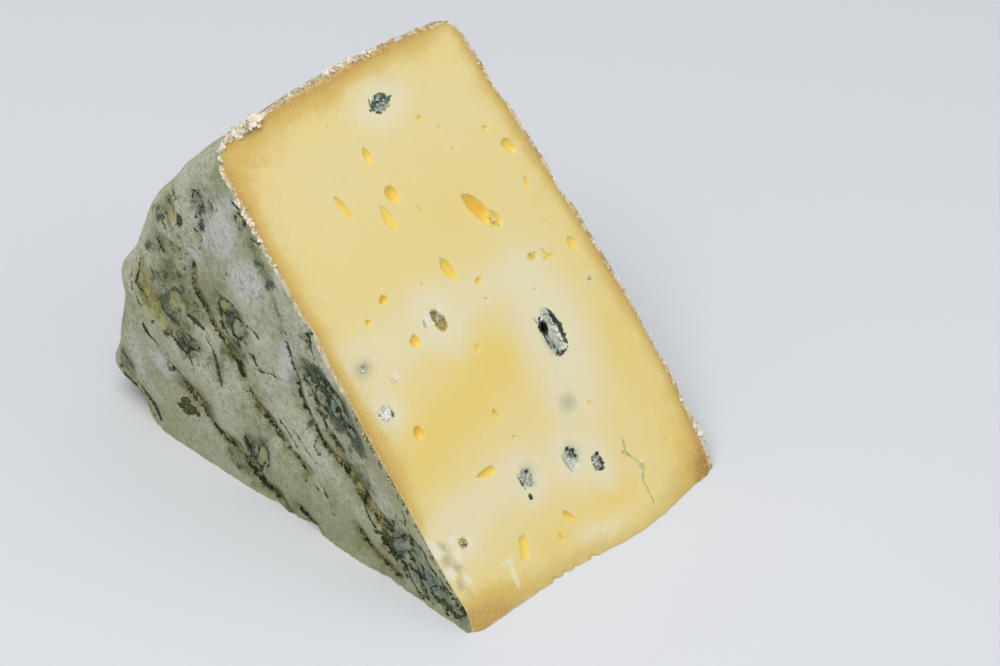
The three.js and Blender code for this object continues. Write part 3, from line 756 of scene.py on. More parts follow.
# Finer marks on the upper cut, by x and distance up from the tip edge.
pasteMarks = {
    "dark": [
        # painted shadow: the dark opening of the deep mould pocket
        *chain([(57.4, 53.4), (57.6, 51.2), (57.6, 49.2)], [0.5, 1.9, 0.5]),
        blob(48.4, 114.6, 0.55, 0.5, 0),
        blob(50.0, 115.4, 0.5, 0.35, 0),
        blob(46.4, 117.0, 0.4, 0.5, 0),
        blob(43.4, 114.7, 0.35, 0.3, 0),
        blob(7.6, 65.4, 0.25, 0.6, -30),
        blob(9.4, 53.2, 0.3, 0.7, -20),
        blob(57.4, 44.4, 1.0, 0.5, 30),
        blob(57.9, 45.8, 0.4, 0.6, 0),
        blob(56.9, 46.9, 0.3, 0.9, 0),
        blob(53.0, 33.4, 0.35, 0.25, 0),
        blob(31.4, 19.9, 0.45, 0.7, 0),
        blob(33.9, 25.3, 0.5, 0.4, 0),
        blob(47.5, 23.4, 1.0, 0.75, 10),
        blob(46.6, 24.5, 0.6, 0.4, 0),
        blob(47.9, 22.0, 0.35, 0.55, 0),
        blob(53.4, 19.6, 0.55, 0.5, 0),
        blob(52.6, 16.0, 0.9, 0.35, 0),
        blob(9.6, 19.2, 0.3, 0.45, 30),
    ],
    "smudge": [
        blob(53.0, 33.3, 2.4, 2.2, 0),
        blob(8.2, 65.4, 2.8, 2.2, 0),
        blob(33.9, 25.2, 2.0, 1.8, 0),
        blob(47.2, 23.2, 2.2, 2.2, 0),
        blob(56.9, 47.2, 1.6, 2.6, 0),
    ],
    "grey": [
        blob(57.3, 48.0, 1.4, 2.2, 10),
        blob(57.6, 45.6, 1.5, 1.3, 0),
        blob(52.4, 17.6, 0.8, 1.1, 0),
        blob(33.6, 25.0, 1.2, 1.0, 0),
        blob(33.6, 22.8, 0.9, 1.2, 0),
        blob(47.4, 22.6, 0.9, 1.3, 0),
        blob(4.4, 21.4, 0.8, 1.6, 25),
        blob(3.2, 18.6, 1.3, 1.5, -30),
        blob(5.0, 16.2, 1.0, 1.9, 20),
        blob(3.6, 12.6, 0.8, 1.5, -20),
        blob(4.4, 10.2, 0.4, 1.1, 10),
        blob(8.4, 65.6, 1.3, 0.9, 0),
    ],
    "white": [
        stroke(17.9, 10.2, 17.0, 3.6, -0.2, 0.7),
        blob(17.5, 10.4, 1.7, 0.6, 0),
        blob(59.4, 79.6, 0.4, 0.8, 0),
        blob(14.8, 59.8, 1.2, 0.9, 20),
        blob(30.2, 67.2, 1.2, 1.6, -10),
        blob(33.8, 67.2, 0.8, 1.8, -25),
        blob(45.3, 21.2, 0.6, 2.0, -10),
        blob(8.0, 54.0, 1.8, 1.6, 0),
        blob(63.4, 12.3, 1.2, 0.4, 20),
        blob(61.8, 10.8, 0.35, 1.3, 0),
        blob(58.4, 53.8, 1.3, 1.0, 20),
        blob(59.4, 51.6, 0.7, 1.6, 10),
        blob(59.9, 48.6, 0.8, 3.2, 5),
        blob(46.8, 20.6, 0.8, 1.2, 0),
        blob(6.6, 18.2, 1.0, 2.0, -20),
        blob(2.4, 15.6, 1.4, 1.6, 30),
        blob(1.6, 22.4, 1.2, 3.0, 10),
        blob(5.8, 12.6, 0.8, 1.8, 15),
        blob(7.2, 22.0, 1.0, 1.0, 0),
        blob(11.2, 19.4, 0.5, 1.4, 0),
    ],
    "line": [
        stroke(61.9, 19.6, 60.8, 16.4, 0.15, 0.14),
        stroke(60.8, 16.3, 59.4, 16.5, 0, 0.2),
        stroke(60.6, 16.2, 61.5, 14.5, 0, 0.3),
        stroke(61.5, 14.5, 62.9, 12.2, 0, 0.08),
        stroke(62.3, 9.9, 60.9, 8.0, 0, 0.2),
        stroke(60.9, 8.0, 60.8, 4.9, 0.2, 0.12),
        stroke(60.8, 4.9, 60.7, 2.7, 0, 0.1),
        stroke(60.9, 2.9, 60.3, 2.5, 0, 0.2),
        stroke(44.4, 23.9, 45.0, 19.2, -0.2, 0.26),
        stroke(28.8, 67.7, 28.5, 65.5, -0.2, 0.26),
        stroke(55.9, 54.4, 56.3, 52.4, 0, 0.22),
    ],
    "crack": [
        stroke(60.2, 55.0, 60.6, 44.0, 1.25, 0.5),
        stroke(60.6, 44.0, 57.2, 43.6, -0.2, 0.36),
        stroke(56.0, 52.0, 56.2, 45.6, 0.2, 0.26),
        stroke(31.0, 25.8, 31.3, 21.8, -0.2, 0.26),
        stroke(53.6, 18.8, 53.0, 16.1, 0.4, 0.4),
        stroke(50.9, 18.2, 51.0, 16.4, 0.2, 0.22),
        stroke(44.5, 117.2, 44.4, 113.8, -0.3, 0.36),
        stroke(44.4, 113.9, 46.0, 112.9, 0.1, 0.42),
        stroke(44.4, 116.1, 47.6, 115.1, 0.2, 0.3),
        stroke(47.5, 115.1, 48.2, 116.6, 0, 0.24),
        stroke(8.2, 66.1, 9.2, 65.6, 0, 0.12),
    ],
}


def scatteredEyes(seed, count, taken):
    # eyes for the resting cut, kept apart from each other
    pick = np.random.default_rng(seed)
    found = []
    while len(found) < count:
        x, out = pick.uniform(6, 78), pick.uniform(8, 118)
        length = 1.0 + 4.5 * pick.random() ** 2
        if any(math.hypot(x - other[0], out - other[1]) < length + other[3] for other in found + taken):
            continue
        wide = length * pick.uniform(0.45, 0.9)
        found.append((x, out, wide, length, wide * 0.8, pick.uniform(-25, 25)))
    return found


floorMouldyEyes = [
    (40, 96, 5.2, 6.0, 2.2, 10, 0.7), (22, 70, 4.0, 5.2, 1.8, -10, 0.5), (57, 58, 5.4, 8.0, 3.0, 15, 0.8),
    (34, 36, 3.8, 4.4, 1.8, 0, 0.4), (64, 30, 3.2, 3.8, 1.4, 0, 0.5), (48, 18, 3.0, 4.0, 1.4, 20, 0.6),
]
floorEyes = scatteredEyes(21, 36, floorMouldyEyes)


# Eyes of a marked shape: how far the edge reaches, anticlockwise from the right, in equal steps.
shapedEyes = {
    (56.8, 83.2): (0.8, 0.72, 0.72, 0.85, 1.1, 0.95, 0.9, 0.9, 1.0, 1.0, 1.05, 1.0),
    (59.4, 78.8): (1.0, 1.05, 0.95, 0.8, 0.9, 1.0, 1.0, 1.0, 0.95, 1.05),
    (24.0, 30.3): (1.0, 1.05, 0.75, 0.6, 0.6, 0.75, 1.2, 0.8, 0.6, 0.7, 0.95, 1.05),
    (23.2, 11.0): (0.95, 1.2, 1.0, 1.25, 0.95, 1.2, 1.0, 1.25),
    (69.5, 97.9): (1.0, 0.7, 0.8, 1.2, 0.7, 0.7, 1.15, 0.8, 0.75),
    (13.0, 46.4): (0.9, 1.0, 0.95, 0.9, 1.0, 0.9, 1.05, 0.95),
    (37.8, 95.8): (0.95, 0.9, 1.0, 1.05, 1.0, 1.0, 1.0, 1.0, 1.05, 1.0),
    (41.4, 74.3): (0.75, 0.85, 1.0, 1.1, 0.95, 0.85, 0.6, 0.75, 1.1, 0.85),
    (33.8, 91.4): (0.8, 0.85, 1.0, 1.05, 0.95, 0.9, 0.9, 1.0, 1.05, 0.85),
    (24.3, 98.5): (0.9, 0.9, 1.0, 1.1, 0.9, 0.8, 0.7, 0.75, 1.15, 0.8),
    (32.5, 65.6): (0.9, 0.7, 0.85, 1.15, 1.0, 0.85, 0.8, 0.85, 1.1, 1.0),
    (57.7, 51.0): (1.05, 0.85, 1.1, 0.85, 1.05, 0.85, 1.1, 0.85),
}


def eyeReach(eye, seed):
    # the outline of an eye as reach by angle: a few uneven corners, slightly rounded
    pick = np.random.default_rng(seed + 400)
    if eye[:2] in shapedEyes:
        reach = np.array(shapedEyes[eye[:2]])
        angles = np.arange(len(reach)) * 2 * math.pi / len(reach)
    else:
        corners = 6
        angles = (np.arange(corners) + pick.uniform(-0.25, 0.25, corners)) * 2 * math.pi / corners
        angles += math.pi / 2
        reach = pick.uniform(0.85, 1.2, corners)
    corner = np.stack([reach * np.cos(angles), reach * np.sin(angles)], axis=1)
    for share in (0.16, 0.25):
        following = np.roll(corner, -1, axis=0)
        near = corner * (1 - share) + following * share
        far = corner * share + following * (1 - share)
        corner = np.stack([near, far], axis=1).reshape(-1, 2)
    angles = np.arctan2(corner[:, 1], corner[:, 0])
    return angles, np.hypot(corner[:, 0], corner[:, 1])


def eyeCutter(shape, eye, upper, seed):
    # adds one closed pit shape, whose mouth flares so that the eye has a soft lip
    x, out, wide, length, depth, lean = eye[:6]
    edgeAngles, edgeReach = eyeReach(eye, seed)
    size = (wide + length) / 2
    lip = min(0.2, 0.09 * size) / (size / 2)
    profile = [(0.001, -1.0), (0.45, -0.93), (0.75, -0.72), (0.93, -0.42), (1.0, -0.14)]
    profile += [(1.0 + lip * 0.4, -0.03), (1.0 + lip, 0.02), (1.0 + lip * 1.1, 0.5), (0.001, 0.5)]
    pit = bmesh.new()
    spine = [pit.verts.new((radius, 0, height)) for radius, height in profile]
    wires = [pit.edges.new(pair) for pair in zip(spine, spine[1:])]
    depth *= 0.55 if len(eye) == 6 else 1.0
    turns = 14 if size < 1.6 else (22 if size < 3 else 34)
    bmesh.ops.spin(pit, geom=spine + wires, cent=(0, 0, 0), axis=(0, 0, 1), angle=2 * math.pi,
                   steps=turns, use_merge=True)
    bmesh.ops.remove_doubles(pit, verts=pit.verts, dist=0.004)
    bmesh.ops.recalc_face_normals(pit, faces=pit.faces)
    for vert in pit.verts:
        place = np.array([[vert.co.x, vert.co.y, vert.co.z * 0.5]])
        wobble = 1 + 0.12 * latticeNoise(place, 0.5, seed)[0] + 0.06 * latticeNoise(place, 0.22, seed + 9)[0]
        wobble *= np.interp(math.atan2(vert.co.y, vert.co.x), edgeAngles, edgeReach, period=2 * math.pi)
        vert.co.x *= wobble
        vert.co.y *= wobble
    place = Matrix.Translation((x, out, 0)) @ Matrix.Rotation(math.radians(-lean), 4, "Z")
    place = place @ Matrix.Diagonal((wide / 2, length / 2, depth, 1))
    if upper:
        place = Matrix.Rotation(cutAngle, 4, "X") @ place
    else:
        place = Matrix.Scale(-1, 4, (0, 0, 1)) @ place
    bmesh.ops.transform(pit, matrix=place, verts=pit.verts)
    bmesh.ops.recalc_face_normals(pit, faces=pit.faces)
    part = bpy.data.meshes.new("pit")
    pit.to_mesh(part)
    pit.free()
    shape.from_mesh(part)
    bpy.data.meshes.remove(part)


def eyeCutters():
    # all the pits, in two meshes so that near neighbours don't share one
    meshes = []
    for half in (0, 1):
        shape = bmesh.new()
        for upper, eyes in ((True, upperEyes + mouldyEyes), (False, floorEyes + floorMouldyEyes)):
            for index, eye in enumerate(eyes):
                if index % 2 == half:
                    eyeCutter(shape, eye, upper, index + (0 if upper else 100))
        mesh = bpy.data.meshes.new("eyePits")
        shape.to_mesh(mesh)
        shape.free()
        meshes.append(mesh)
    return meshes


def cutMesh(mesh, others):
    # the mesh after each (operation, other mesh) in turn
    piece = bpy.data.objects.new("cutting", mesh)
    bpy.context.scene.collection.objects.link(piece)
    helpers = []
    for operation, other in others:
        helper = bpy.data.objects.new("cutter", other)
        bpy.context.scene.collection.objects.link(helper)
        change = piece.modifiers.new("cut", "BOOLEAN")
        change.operation = operation
        change.solver = "MANIFOLD"
        change.object = helper
        helpers.append(helper)
    bpy.context.view_layer.update()
    solved = piece.evaluated_get(bpy.context.evaluated_depsgraph_get())
    result = bpy.data.meshes.new_from_object(solved)
    for helper in helpers + [piece]:
        bpy.data.objects.remove(helper)
    return result


def addPiece(name, mesh, material):
    mesh.transform(toRow)
    mesh.name = name
    mesh.materials.clear()
    mesh.materials.append(material)
    piece = bpy.data.objects.new(name, mesh)
    bpy.context.scene.collection.objects.link(piece)
    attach(piece, "root")
    return piece


def shade(red, green, blue):
    # a colour on the usual scale of 0 to 255, made linear
    linear = []
    for level in (red, green, blue):
        level = level / 255
        linear.append(level / 12.92 if level <= 0.04045 else ((level + 0.055) / 1.055) ** 2.4)
    return (*linear, 1.0)


class Bench:
    # a material being wired up, with Object coordinates in millimetres
    def __init__(self, name):
        self.material = bpy.data.materials.new(name)
        self.material.use_nodes = True
        self.tree = self.material.node_tree
        self.tree.nodes.clear()
        coordinates = self.add("ShaderNodeTexCoord").outputs["Object"]
        self.place = self.add(
            "ShaderNodeMapping", {"Vector": coordinates, "Scale": (1000, 1000, 1000)}).outputs[0]

    def add(self, kind, inputs=None, **settings):
        made = self.tree.nodes.new(kind)
        for name, value in settings.items():
            setattr(made, name, value)
        for name, value in (inputs or {}).items():
            if isinstance(value, bpy.types.NodeSocket):
                self.tree.links.new(value, made.inputs[name])
            else:
                made.inputs[name].default_value = value
        return made

    def math(self, operation, a, b=0.0, clamp=False):
        return self.add("ShaderNodeMath", {0: a, 1: b}, operation=operation, use_clamp=clamp).outputs[0]

    def blend(self, factor, a, b, mode="MIX"):
        made = self.add("ShaderNodeMix", data_type="RGBA", blend_type=mode)
        for index, value in ((0, factor), (6, a), (7, b)):
            if isinstance(value, bpy.types.NodeSocket):
                self.tree.links.new(value, made.inputs[index])
            else:
                made.inputs[index].default_value = value
        return made.outputs[2]

    def noise(self, size, detail=2.0, roughness=0.5, distortion=0.0, place=None):
        inputs = {"Vector": place or self.place, "Scale": 1 / size, "Detail": detail,
                  "Roughness": roughness, "Distortion": distortion}
        return self.add("ShaderNodeTexNoise", inputs).outputs["Fac"]

    def step(self, value, start, end):
        # 0 before start, 1 after end, smooth in between
        inputs = {"Value": value, "From Min": start, "From Max": end, "To Min": 0.0, "To Max": 1.0}
        return self.add("ShaderNodeMapRange", inputs, interpolation_type="SMOOTHSTEP").outputs[0]

    def wobble(self, value, noise, amount):
        # adds noise of 0 to 1, centred, to a distance
        return self.math("ADD", value, self.math("MULTIPLY", self.math("SUBTRACT", noise, 0.5), amount))

    def layer(self, name):
        return self.add("ShaderNodeAttribute", attribute_name=name).outputs["Fac"]

    def along(self, angle, squeeze):
        # coordinates drawn out along a direction that leans by angle in the YZ plane
        turned = self.add("ShaderNodeMapping", {"Vector": self.place, "Rotation": (-angle, 0, 0)}).outputs[0]
        return self.add("ShaderNodeMapping", {"Vector": turned, "Scale": (1, squeeze, 1)}).outputs[0]

    def bump(self, height, strength, distance):
        inputs = {"Height": height, "Strength": strength, "Distance": distance}
        return self.add("ShaderNodeBump", inputs).outputs[0]

    def finish(self, inputs):
        surface = self.add("ShaderNodeBsdfPrincipled", inputs)
        output = self.add("ShaderNodeOutputMaterial")
        self.tree.links.new(surface.outputs[0], output.inputs[0])
        return self.material


rindColours = {
    "skinPale": shade(200, 201, 176),
    "skin": shade(180, 182, 150),
    "skinDeepAndShade": shade(150, 152, 112),
    "bloomAndPaintedLight": shade(212, 214, 206),
    "stainAndShade": shade(100, 104, 58),
    "olive": shade(112, 106, 58),
    "brown": shade(128, 116, 68),
    "straw": shade(176, 168, 118),
    "black": shade(40, 42, 24),
    "green": shade(102, 111, 66),
    "greenDark": shade(58, 66, 36),
    "sage": shade(158, 168, 132),
    "blueGrey": shade(118, 136, 134),
    "slate": shade(84, 102, 116),
    "blueDark": shade(74, 92, 78),
    "ochre": shade(176, 170, 100),
    "ochreDeep": shade(134, 126, 62),
    "dun": shade(146, 143, 88),
    "flakePale": shade(240, 233, 214),
    "flakeTan": shade(214, 186, 134),
    "flakeGrey": shade(186, 182, 156),
    "section": shade(226, 213, 176),
    "sectionTan": shade(196, 154, 88),
    "sectionLow": shade(96, 98, 62),
}


def skinColour(bench, noises):
    # the dry skin: broad and small patches of tone, stained streaks, dark flecks and pale powder, a pale
    # bloom that is partly painted light, and painted shade that darkens the skin towards the floor
    colours = rindColours
    tone = bench.math("MULTIPLY", bench.noise(26, 2), 0.4)
    tone = bench.math("ADD", tone, bench.math("MULTIPLY", noises["patch"], 0.35))
    tone = bench.math("ADD", tone, bench.math("MULTIPLY", noises["mottle"], 0.25))
    colour = bench.blend(bench.step(tone, 0.42, 0.49), colours["skinDeepAndShade"], colours["skin"])
    colour = bench.blend(bench.step(tone, 0.48, 0.56), colour, colours["skinPale"])
    # pale bloom: partly real whitish bloom, partly painted light that makes the upper creased face lighter
    pale = bench.wobble(bench.wobble(bench.layer("pale"), noises["patch"], 9), noises["mottle"], 6)
    colour = bench.blend(bench.math("MULTIPLY", bench.step(pale, 1.2, -2.6), 0.78), colour, colours["bloomAndPaintedLight"])
    streaks = bench.math("MULTIPLY", bench.step(noises["streak"], 0.56, 0.66), 0.35)
    colour = bench.blend(streaks, colour, colours["stainAndShade"])
    flecks = bench.math("ADD", noises["speck"], bench.math("MULTIPLY", noises["patch"], 0.35))
    colour = bench.blend(
        bench.math("MULTIPLY", bench.step(flecks, 0.72, 0.77), 0.55), colour, colours["stainAndShade"])
    powder = bench.step(bench.noise(0.55, 4, 0.7), 0.54, 0.66)
    colour = bench.blend(bench.math("MULTIPLY", powder, 0.3), colour, colours["bloomAndPaintedLight"])
    dust = bench.step(bench.noise(0.4, 3, 0.7), 0.55, 0.68)
    colour = bench.blend(bench.math("MULTIPLY", dust, 0.25), colour, colours["stainAndShade"])
    beside = bench.wobble(bench.layer("edge"), noises["patch"], 6)
    strip = bench.math("MULTIPLY", bench.step(beside, 7, 2), bench.step(noises["height"], 50, 36))
    strip = bench.math("MULTIPLY", strip, bench.step(noises["height"], 12, 22))
    colour = bench.blend(bench.math("MULTIPLY", strip, 0.55), colour, colours["dun"])
    # painted shade: the skin turns darker towards the floor
    return bench.blend(
        bench.math("MULTIPLY", bench.step(noises["height"], 26, 4), 0.45), colour, colours["skinDeepAndShade"])


def mouldZones(bench, noises, colour):
    # green mould with a filigree of dark threads, ochre stains, and raised sage and blue lobes
    colours = rindColours
    green = bench.wobble(bench.wobble(bench.layer("green"), noises["patch"], 9), noises["streak"], 8)
    near = bench.step(green, 1.8, -2.2)
    colour = bench.blend(bench.math("MULTIPLY", near, 0.5), colour, colours["green"])
    clump = bench.noise(3.4, 8, 0.74)
    masses = bench.math("ADD", clump, bench.math("MULTIPLY", near, 0.1))
    middle = bench.math("MULTIPLY", bench.step(masses, 0.55, 0.61), bench.step(green, 3, 0))
    colour = bench.blend(bench.math("MULTIPLY", middle, 0.55), colour, colours["green"])
    masses = bench.math("MULTIPLY", bench.step(masses, 0.6, 0.65), bench.step(green, 3, 0))
    colour = bench.blend(bench.math("MULTIPLY", masses, 0.75), colour, colours["greenDark"])
    for size, presence in ((2.4, 3.1), (1.3, 4.7)):
        ridge = bench.math("ABSOLUTE", bench.math("SUBTRACT", bench.noise(size, 6, 0.68, 0.6), 0.5))
        threads = bench.math("MULTIPLY", bench.step(ridge, 0.026, 0.006),
                             bench.step(bench.noise(presence, 3), 0.48, 0.56))
        threads = bench.math("MULTIPLY", threads, bench.step(green, 2.2, -0.6))
        colour = bench.blend(bench.math("MULTIPLY", threads, 0.8), colour, colours["greenDark"])

    ochre = bench.wobble(bench.wobble(bench.layer("ochre"), noises["mottle"], 3.4), noises["fine"], 1.6)
    ochreTone = bench.math("ADD", noises["mottle"], bench.math("MULTIPLY", noises["fine"], 0.3))
    ochreTone = bench.blend(bench.step(ochreTone, 0.6, 0.74), colours["ochre"], colours["ochreDeep"])
    ochreTone = bench.blend(bench.step(clump, 0.53, 0.6), ochreTone, colours["green"])
    colour = bench.blend(bench.math("MULTIPLY", bench.step(ochre, 0.6, -0.9), 0.85), colour, ochreTone)
    rim = bench.step(bench.math("ABSOLUTE", bench.math("SUBTRACT", ochre, 0.6)), 0.5, 0.1)
    rim = bench.math("MULTIPLY", rim, bench.step(clump, 0.48, 0.55))
    colour = bench.blend(rim, colour, colours["greenDark"])

    blue = bench.wobble(bench.wobble(bench.layer("blue"), noises["mottle"], 4), noises["patch"], 4)
    blueTone = bench.blend(bench.step(noises["fine"], 0.44, 0.56), colours["blueDark"], colours["green"])
    blueTone = bench.blend(bench.step(bench.noise(2.8, 4, 0.7), 0.54, 0.6), blueTone, colours["slate"])
    blueTone = bench.blend(bench.step(bench.noise(1.2, 5, 0.7), 0.53, 0.57), blueTone, colours["greenDark"])
    lowTone = bench.math("MULTIPLY", bench.step(noises["height"], 32, 10), 0.55)
    blueTone = bench.blend(lowTone, blueTone, colours["sage"])
    colour = bench.blend(bench.step(blue, 0.5, -0.4), colour, blueTone)
    lobe = bench.wobble(bench.wobble(bench.layer("lobe"), noises["mottle"], 2.3), noises["fine"], 1.1)
    lobeTone = bench.blend(bench.step(noises["fine"], 0.36, 0.5), colours["straw"], colours["sage"])
    lobeTone = bench.blend(bench.step(bench.noise(3.1, 5, 0.65), 0.5, 0.58), lobeTone, colours["blueGrey"])
    slate = bench.math(
        "MULTIPLY", bench.step(bench.noise(2.3, 5, 0.65), 0.53, 0.59), bench.step(blue, 0.5, -1))
    lobeTone = bench.blend(slate, lobeTone, colours["slate"])
    lobeTone = bench.blend(bench.step(bench.noise(0.9, 5, 0.7), 0.54, 0.62), lobeTone, colours["green"])
    inside = bench.math("MULTIPLY", bench.step(lobe, 0.1, -0.35), bench.step(bench.layer("ochre"), -0.6, 0.4))
    colour = bench.blend(bench.math("MULTIPLY", inside, 0.9), colour, lobeTone)
    outline = bench.math("ABSOLUTE", bench.math("SUBTRACT", lobe, 0.15))
    thick = bench.math("MULTIPLY", bench.math("SUBTRACT", bench.noise(1.6, 5, 0.68), 0.44), 3.2)
    outline = bench.step(bench.math("SUBTRACT", outline, thick), 0.1, -0.08)
    outlineTone = bench.blend(bench.step(noises["fine"], 0.47, 0.55), colours["black"], colours["greenDark"])
    return bench.blend(outline, colour, outlineTone)


def creaseColours(bench, noises, colour):
    # the olive and straw floor of each crease, with a stained border that is partly painted shade, dark lips
    # that come and go and are partly painted shadow, and a mossy border
    colours = rindColours
    # the stained border beside each crease: partly real stain, partly painted shade in the crease's hollow
    beside = bench.wobble(bench.wobble(bench.layer("crease"), noises["patch"], 6), noises["mottle"], 5)
    colour = bench.blend(bench.math("MULTIPLY", bench.step(beside, 3.4, -0.8), 0.5), colour, colours["stainAndShade"])
    moss = bench.math(
        "MULTIPLY", bench.step(beside, 1.0, -0.6), bench.step(bench.noise(1.5, 6, 0.72), 0.52, 0.57))
    colour = bench.blend(bench.math("MULTIPLY", moss, 0.7), colour, colours["greenDark"])
    crease = bench.wobble(bench.wobble(bench.layer("crease"), noises["mottle"], 2.4), noises["fine"], 1.2)
    grain = bench.along(0.8, 0.35)
    floorTone = bench.blend(
        bench.step(bench.noise(1.5, 5, 0.65, place=grain), 0.42, 0.56), colours["olive"], colours["brown"])
    floorTone = bench.blend(
        bench.step(bench.noise(1.0, 5, 0.7, place=grain), 0.5, 0.6), floorTone, colours["straw"])
    floorTone = bench.blend(
        bench.step(bench.noise(0.8, 5, 0.72, place=grain), 0.56, 0.61), floorTone, colours["black"])
    colour = bench.blend(bench.step(crease, 0.5, 0.1), colour, floorTone)
    inReach = bench.step(bench.layer("creaseWidth"), 0.0, 0.25)
    # dark lips along the crease edges: partly a real dark line, partly painted shadow under the overhanging
    # side
    for side, size in (("ADD", 2.3), ("SUBTRACT", 3.1)):
        lip = bench.math(
            side, bench.layer("creaseAcross"), bench.math("ADD", bench.layer("creaseWidth"), 0.15))
        lip = bench.math(
            "ABSOLUTE", bench.wobble(bench.wobble(lip, noises["fine"], 1.5), noises["mottle"], 1.6))
        thick = bench.math("SUBTRACT", bench.noise(size, 6, 0.7), 0.47)
        lipAndShadowMask = bench.step(bench.math("SUBTRACT", lip, bench.math("MULTIPLY", thick, 3.6)), 0.1, -0.06)
        colour = bench.blend(bench.math("MULTIPLY", lipAndShadowMask, inReach), colour, colours["black"])
    return colour


def rindDetail(bench, noises, colour):
    # hairlines, dark spots and scattered specks
    colours = rindColours
    line = bench.math("SUBTRACT", bench.math("ABSOLUTE", bench.layer("lineAcross")), bench.layer("lineWidth"))
    line = bench.wobble(bench.wobble(line, bench.noise(0.9, 5, 0.7), 1.5), noises["mottle"], 2.2)
    lineMask = bench.step(line, 0.05, -0.12)
    lineTone = bench.blend(bench.step(noises["fine"], 0.5, 0.56), colours["black"], colours["greenDark"])
    colour = bench.blend(lineMask, colour, lineTone)
    dark = bench.wobble(bench.wobble(bench.layer("dark"), bench.noise(1.4, 5, 0.7), 3), noises["mottle"], 1.2)
    darkTone = bench.blend(bench.step(noises["fine"], 0.5, 0.55), colours["greenDark"], colours["stainAndShade"])
    darkTone = bench.blend(bench.step(dark, -0.45, -0.15), darkTone, colours["black"])
    colour = bench.blend(bench.step(dark, 0.1, -0.1), colour, darkTone)
    near = bench.step(bench.layer("crease"), 3.2, 0)
    for size, share, small in ((1.1, 0.66, 0.04), (0.7, 0.6, 0.0)):
        cell = bench.add("ShaderNodeTexVoronoi", {"Vector": bench.place, "Scale": 1 / size})
        pick = bench.add("ShaderNodeSeparateColor", {"Color": cell.outputs["Color"]}).outputs[0]
        reach = bench.math("ADD", bench.math("MULTIPLY", near, 0.2), small)
        mask = bench.math("LESS_THAN", cell.outputs["Distance"], reach)
        mask = bench.math("MULTIPLY", mask, bench.math("GREATER_THAN", pick, share))
        mask = bench.math("MULTIPLY", mask, bench.step(noises["patch"], 0.46, 0.5))
        colour = bench.blend(mask, colour, colours["black"])
    return colour


def rindMaterial():
    colours = rindColours
    bench = Bench("rindSkin")
    noises = {
        "patch": bench.noise(8, 7, 0.7),
        "mottle": bench.noise(2.2, 6, 0.7),
        "fine": bench.noise(0.6, 3, 0.65),
        "speck": bench.noise(1.0, 6, 0.78),
        "streak": bench.noise(2.6, 7, 0.72, place=bench.along(0.91, 0.25)),
        "height": bench.add("ShaderNodeSeparateXYZ", {"Vector": bench.place}).outputs["Z"],
    }
    colour = skinColour(bench, noises)
    colour = mouldZones(bench, noises, colour)
    colour = creaseColours(bench, noises, colour)
    colour = rindDetail(bench, noises, colour)
    crust = bench.noise(1.7, 5, 0.7)
    sectionTone = bench.blend(bench.step(crust, 0.46, 0.56), colours["section"], colours["sectionTan"])
    low = bench.step(bench.layer("lowEdge"), 0.3, 0.7)
    sectionTone = bench.blend(low, sectionTone, colours["sectionLow"])
    edge = bench.wobble(bench.wobble(bench.layer("edge"), crust, 1.8), noises["fine"], 0.5)
    shown = bench.math("SUBTRACT", 1.0, bench.math("MULTIPLY", low, bench.step(noises["mottle"], 0.5, 0.45)))
    sectionMask = bench.math("MULTIPLY", bench.step(edge, 0.16, -0.04), shown)
    colour = bench.blend(sectionMask, colour, sectionTone)

    relief = bench.math("ADD", noises["mottle"], bench.math("MULTIPLY", noises["fine"], 0.3))
    relief = bench.math("ADD", relief, bench.math("MULTIPLY", bench.noise(0.28, 1), 0.1))
    relief = bench.math("ADD", relief, bench.math("MULTIPLY", noises["streak"], 0.6))
    bump = bench.bump(relief, 0.7, 0.0009)
    return bench.finish({"Base Color": colour, "Roughness": 0.8, "Normal": bump,
                         "Specular IOR Level": 0.3, "Sheen Weight": 0.05})


pasteColours = {
    "cream": shade(233, 220, 174),
    "butter": shade(234, 214, 146),
    "gold": shade(234, 208, 114),
    "halo": shade(232, 223, 186),
    # the darker band under the rind, also used as painted shade along the tip edge
    "bandAndTipShade": shade(219, 188, 104),
    "bandDeepAndTipShade": shade(205, 162, 80),
    "amber": shade(172, 124, 28),
    "crust": shade(216, 200, 156),
    # the eyes' gold is brightened as painted light against the shade inside the pits, and the deeper orange
    # is painted shade
    "eye": shade(245, 216, 100),
    "eyeDeepShade": shade(234, 178, 46),
    "fuzz": shade(216, 215, 198),
    "fuzzGrey": shade(160, 168, 158),
    "fuzzGreen": shade(76, 102, 82),
    "crumb": shade(240, 222, 140),
    "smudge": shade(150, 156, 132),
    "grey": shade(128, 134, 126),
    "olive": shade(112, 112, 70),
    "floor": shade(186, 172, 104),
    "floorDark": shade(140, 130, 80),
    # the dark of mould, also used as painted shade in the deep mould pocket
    "mouldDarkAndHoleShade": shade(34, 38, 26),
    "vein": shade(150, 154, 120),
    "chalk": shade(238, 236, 224),
}


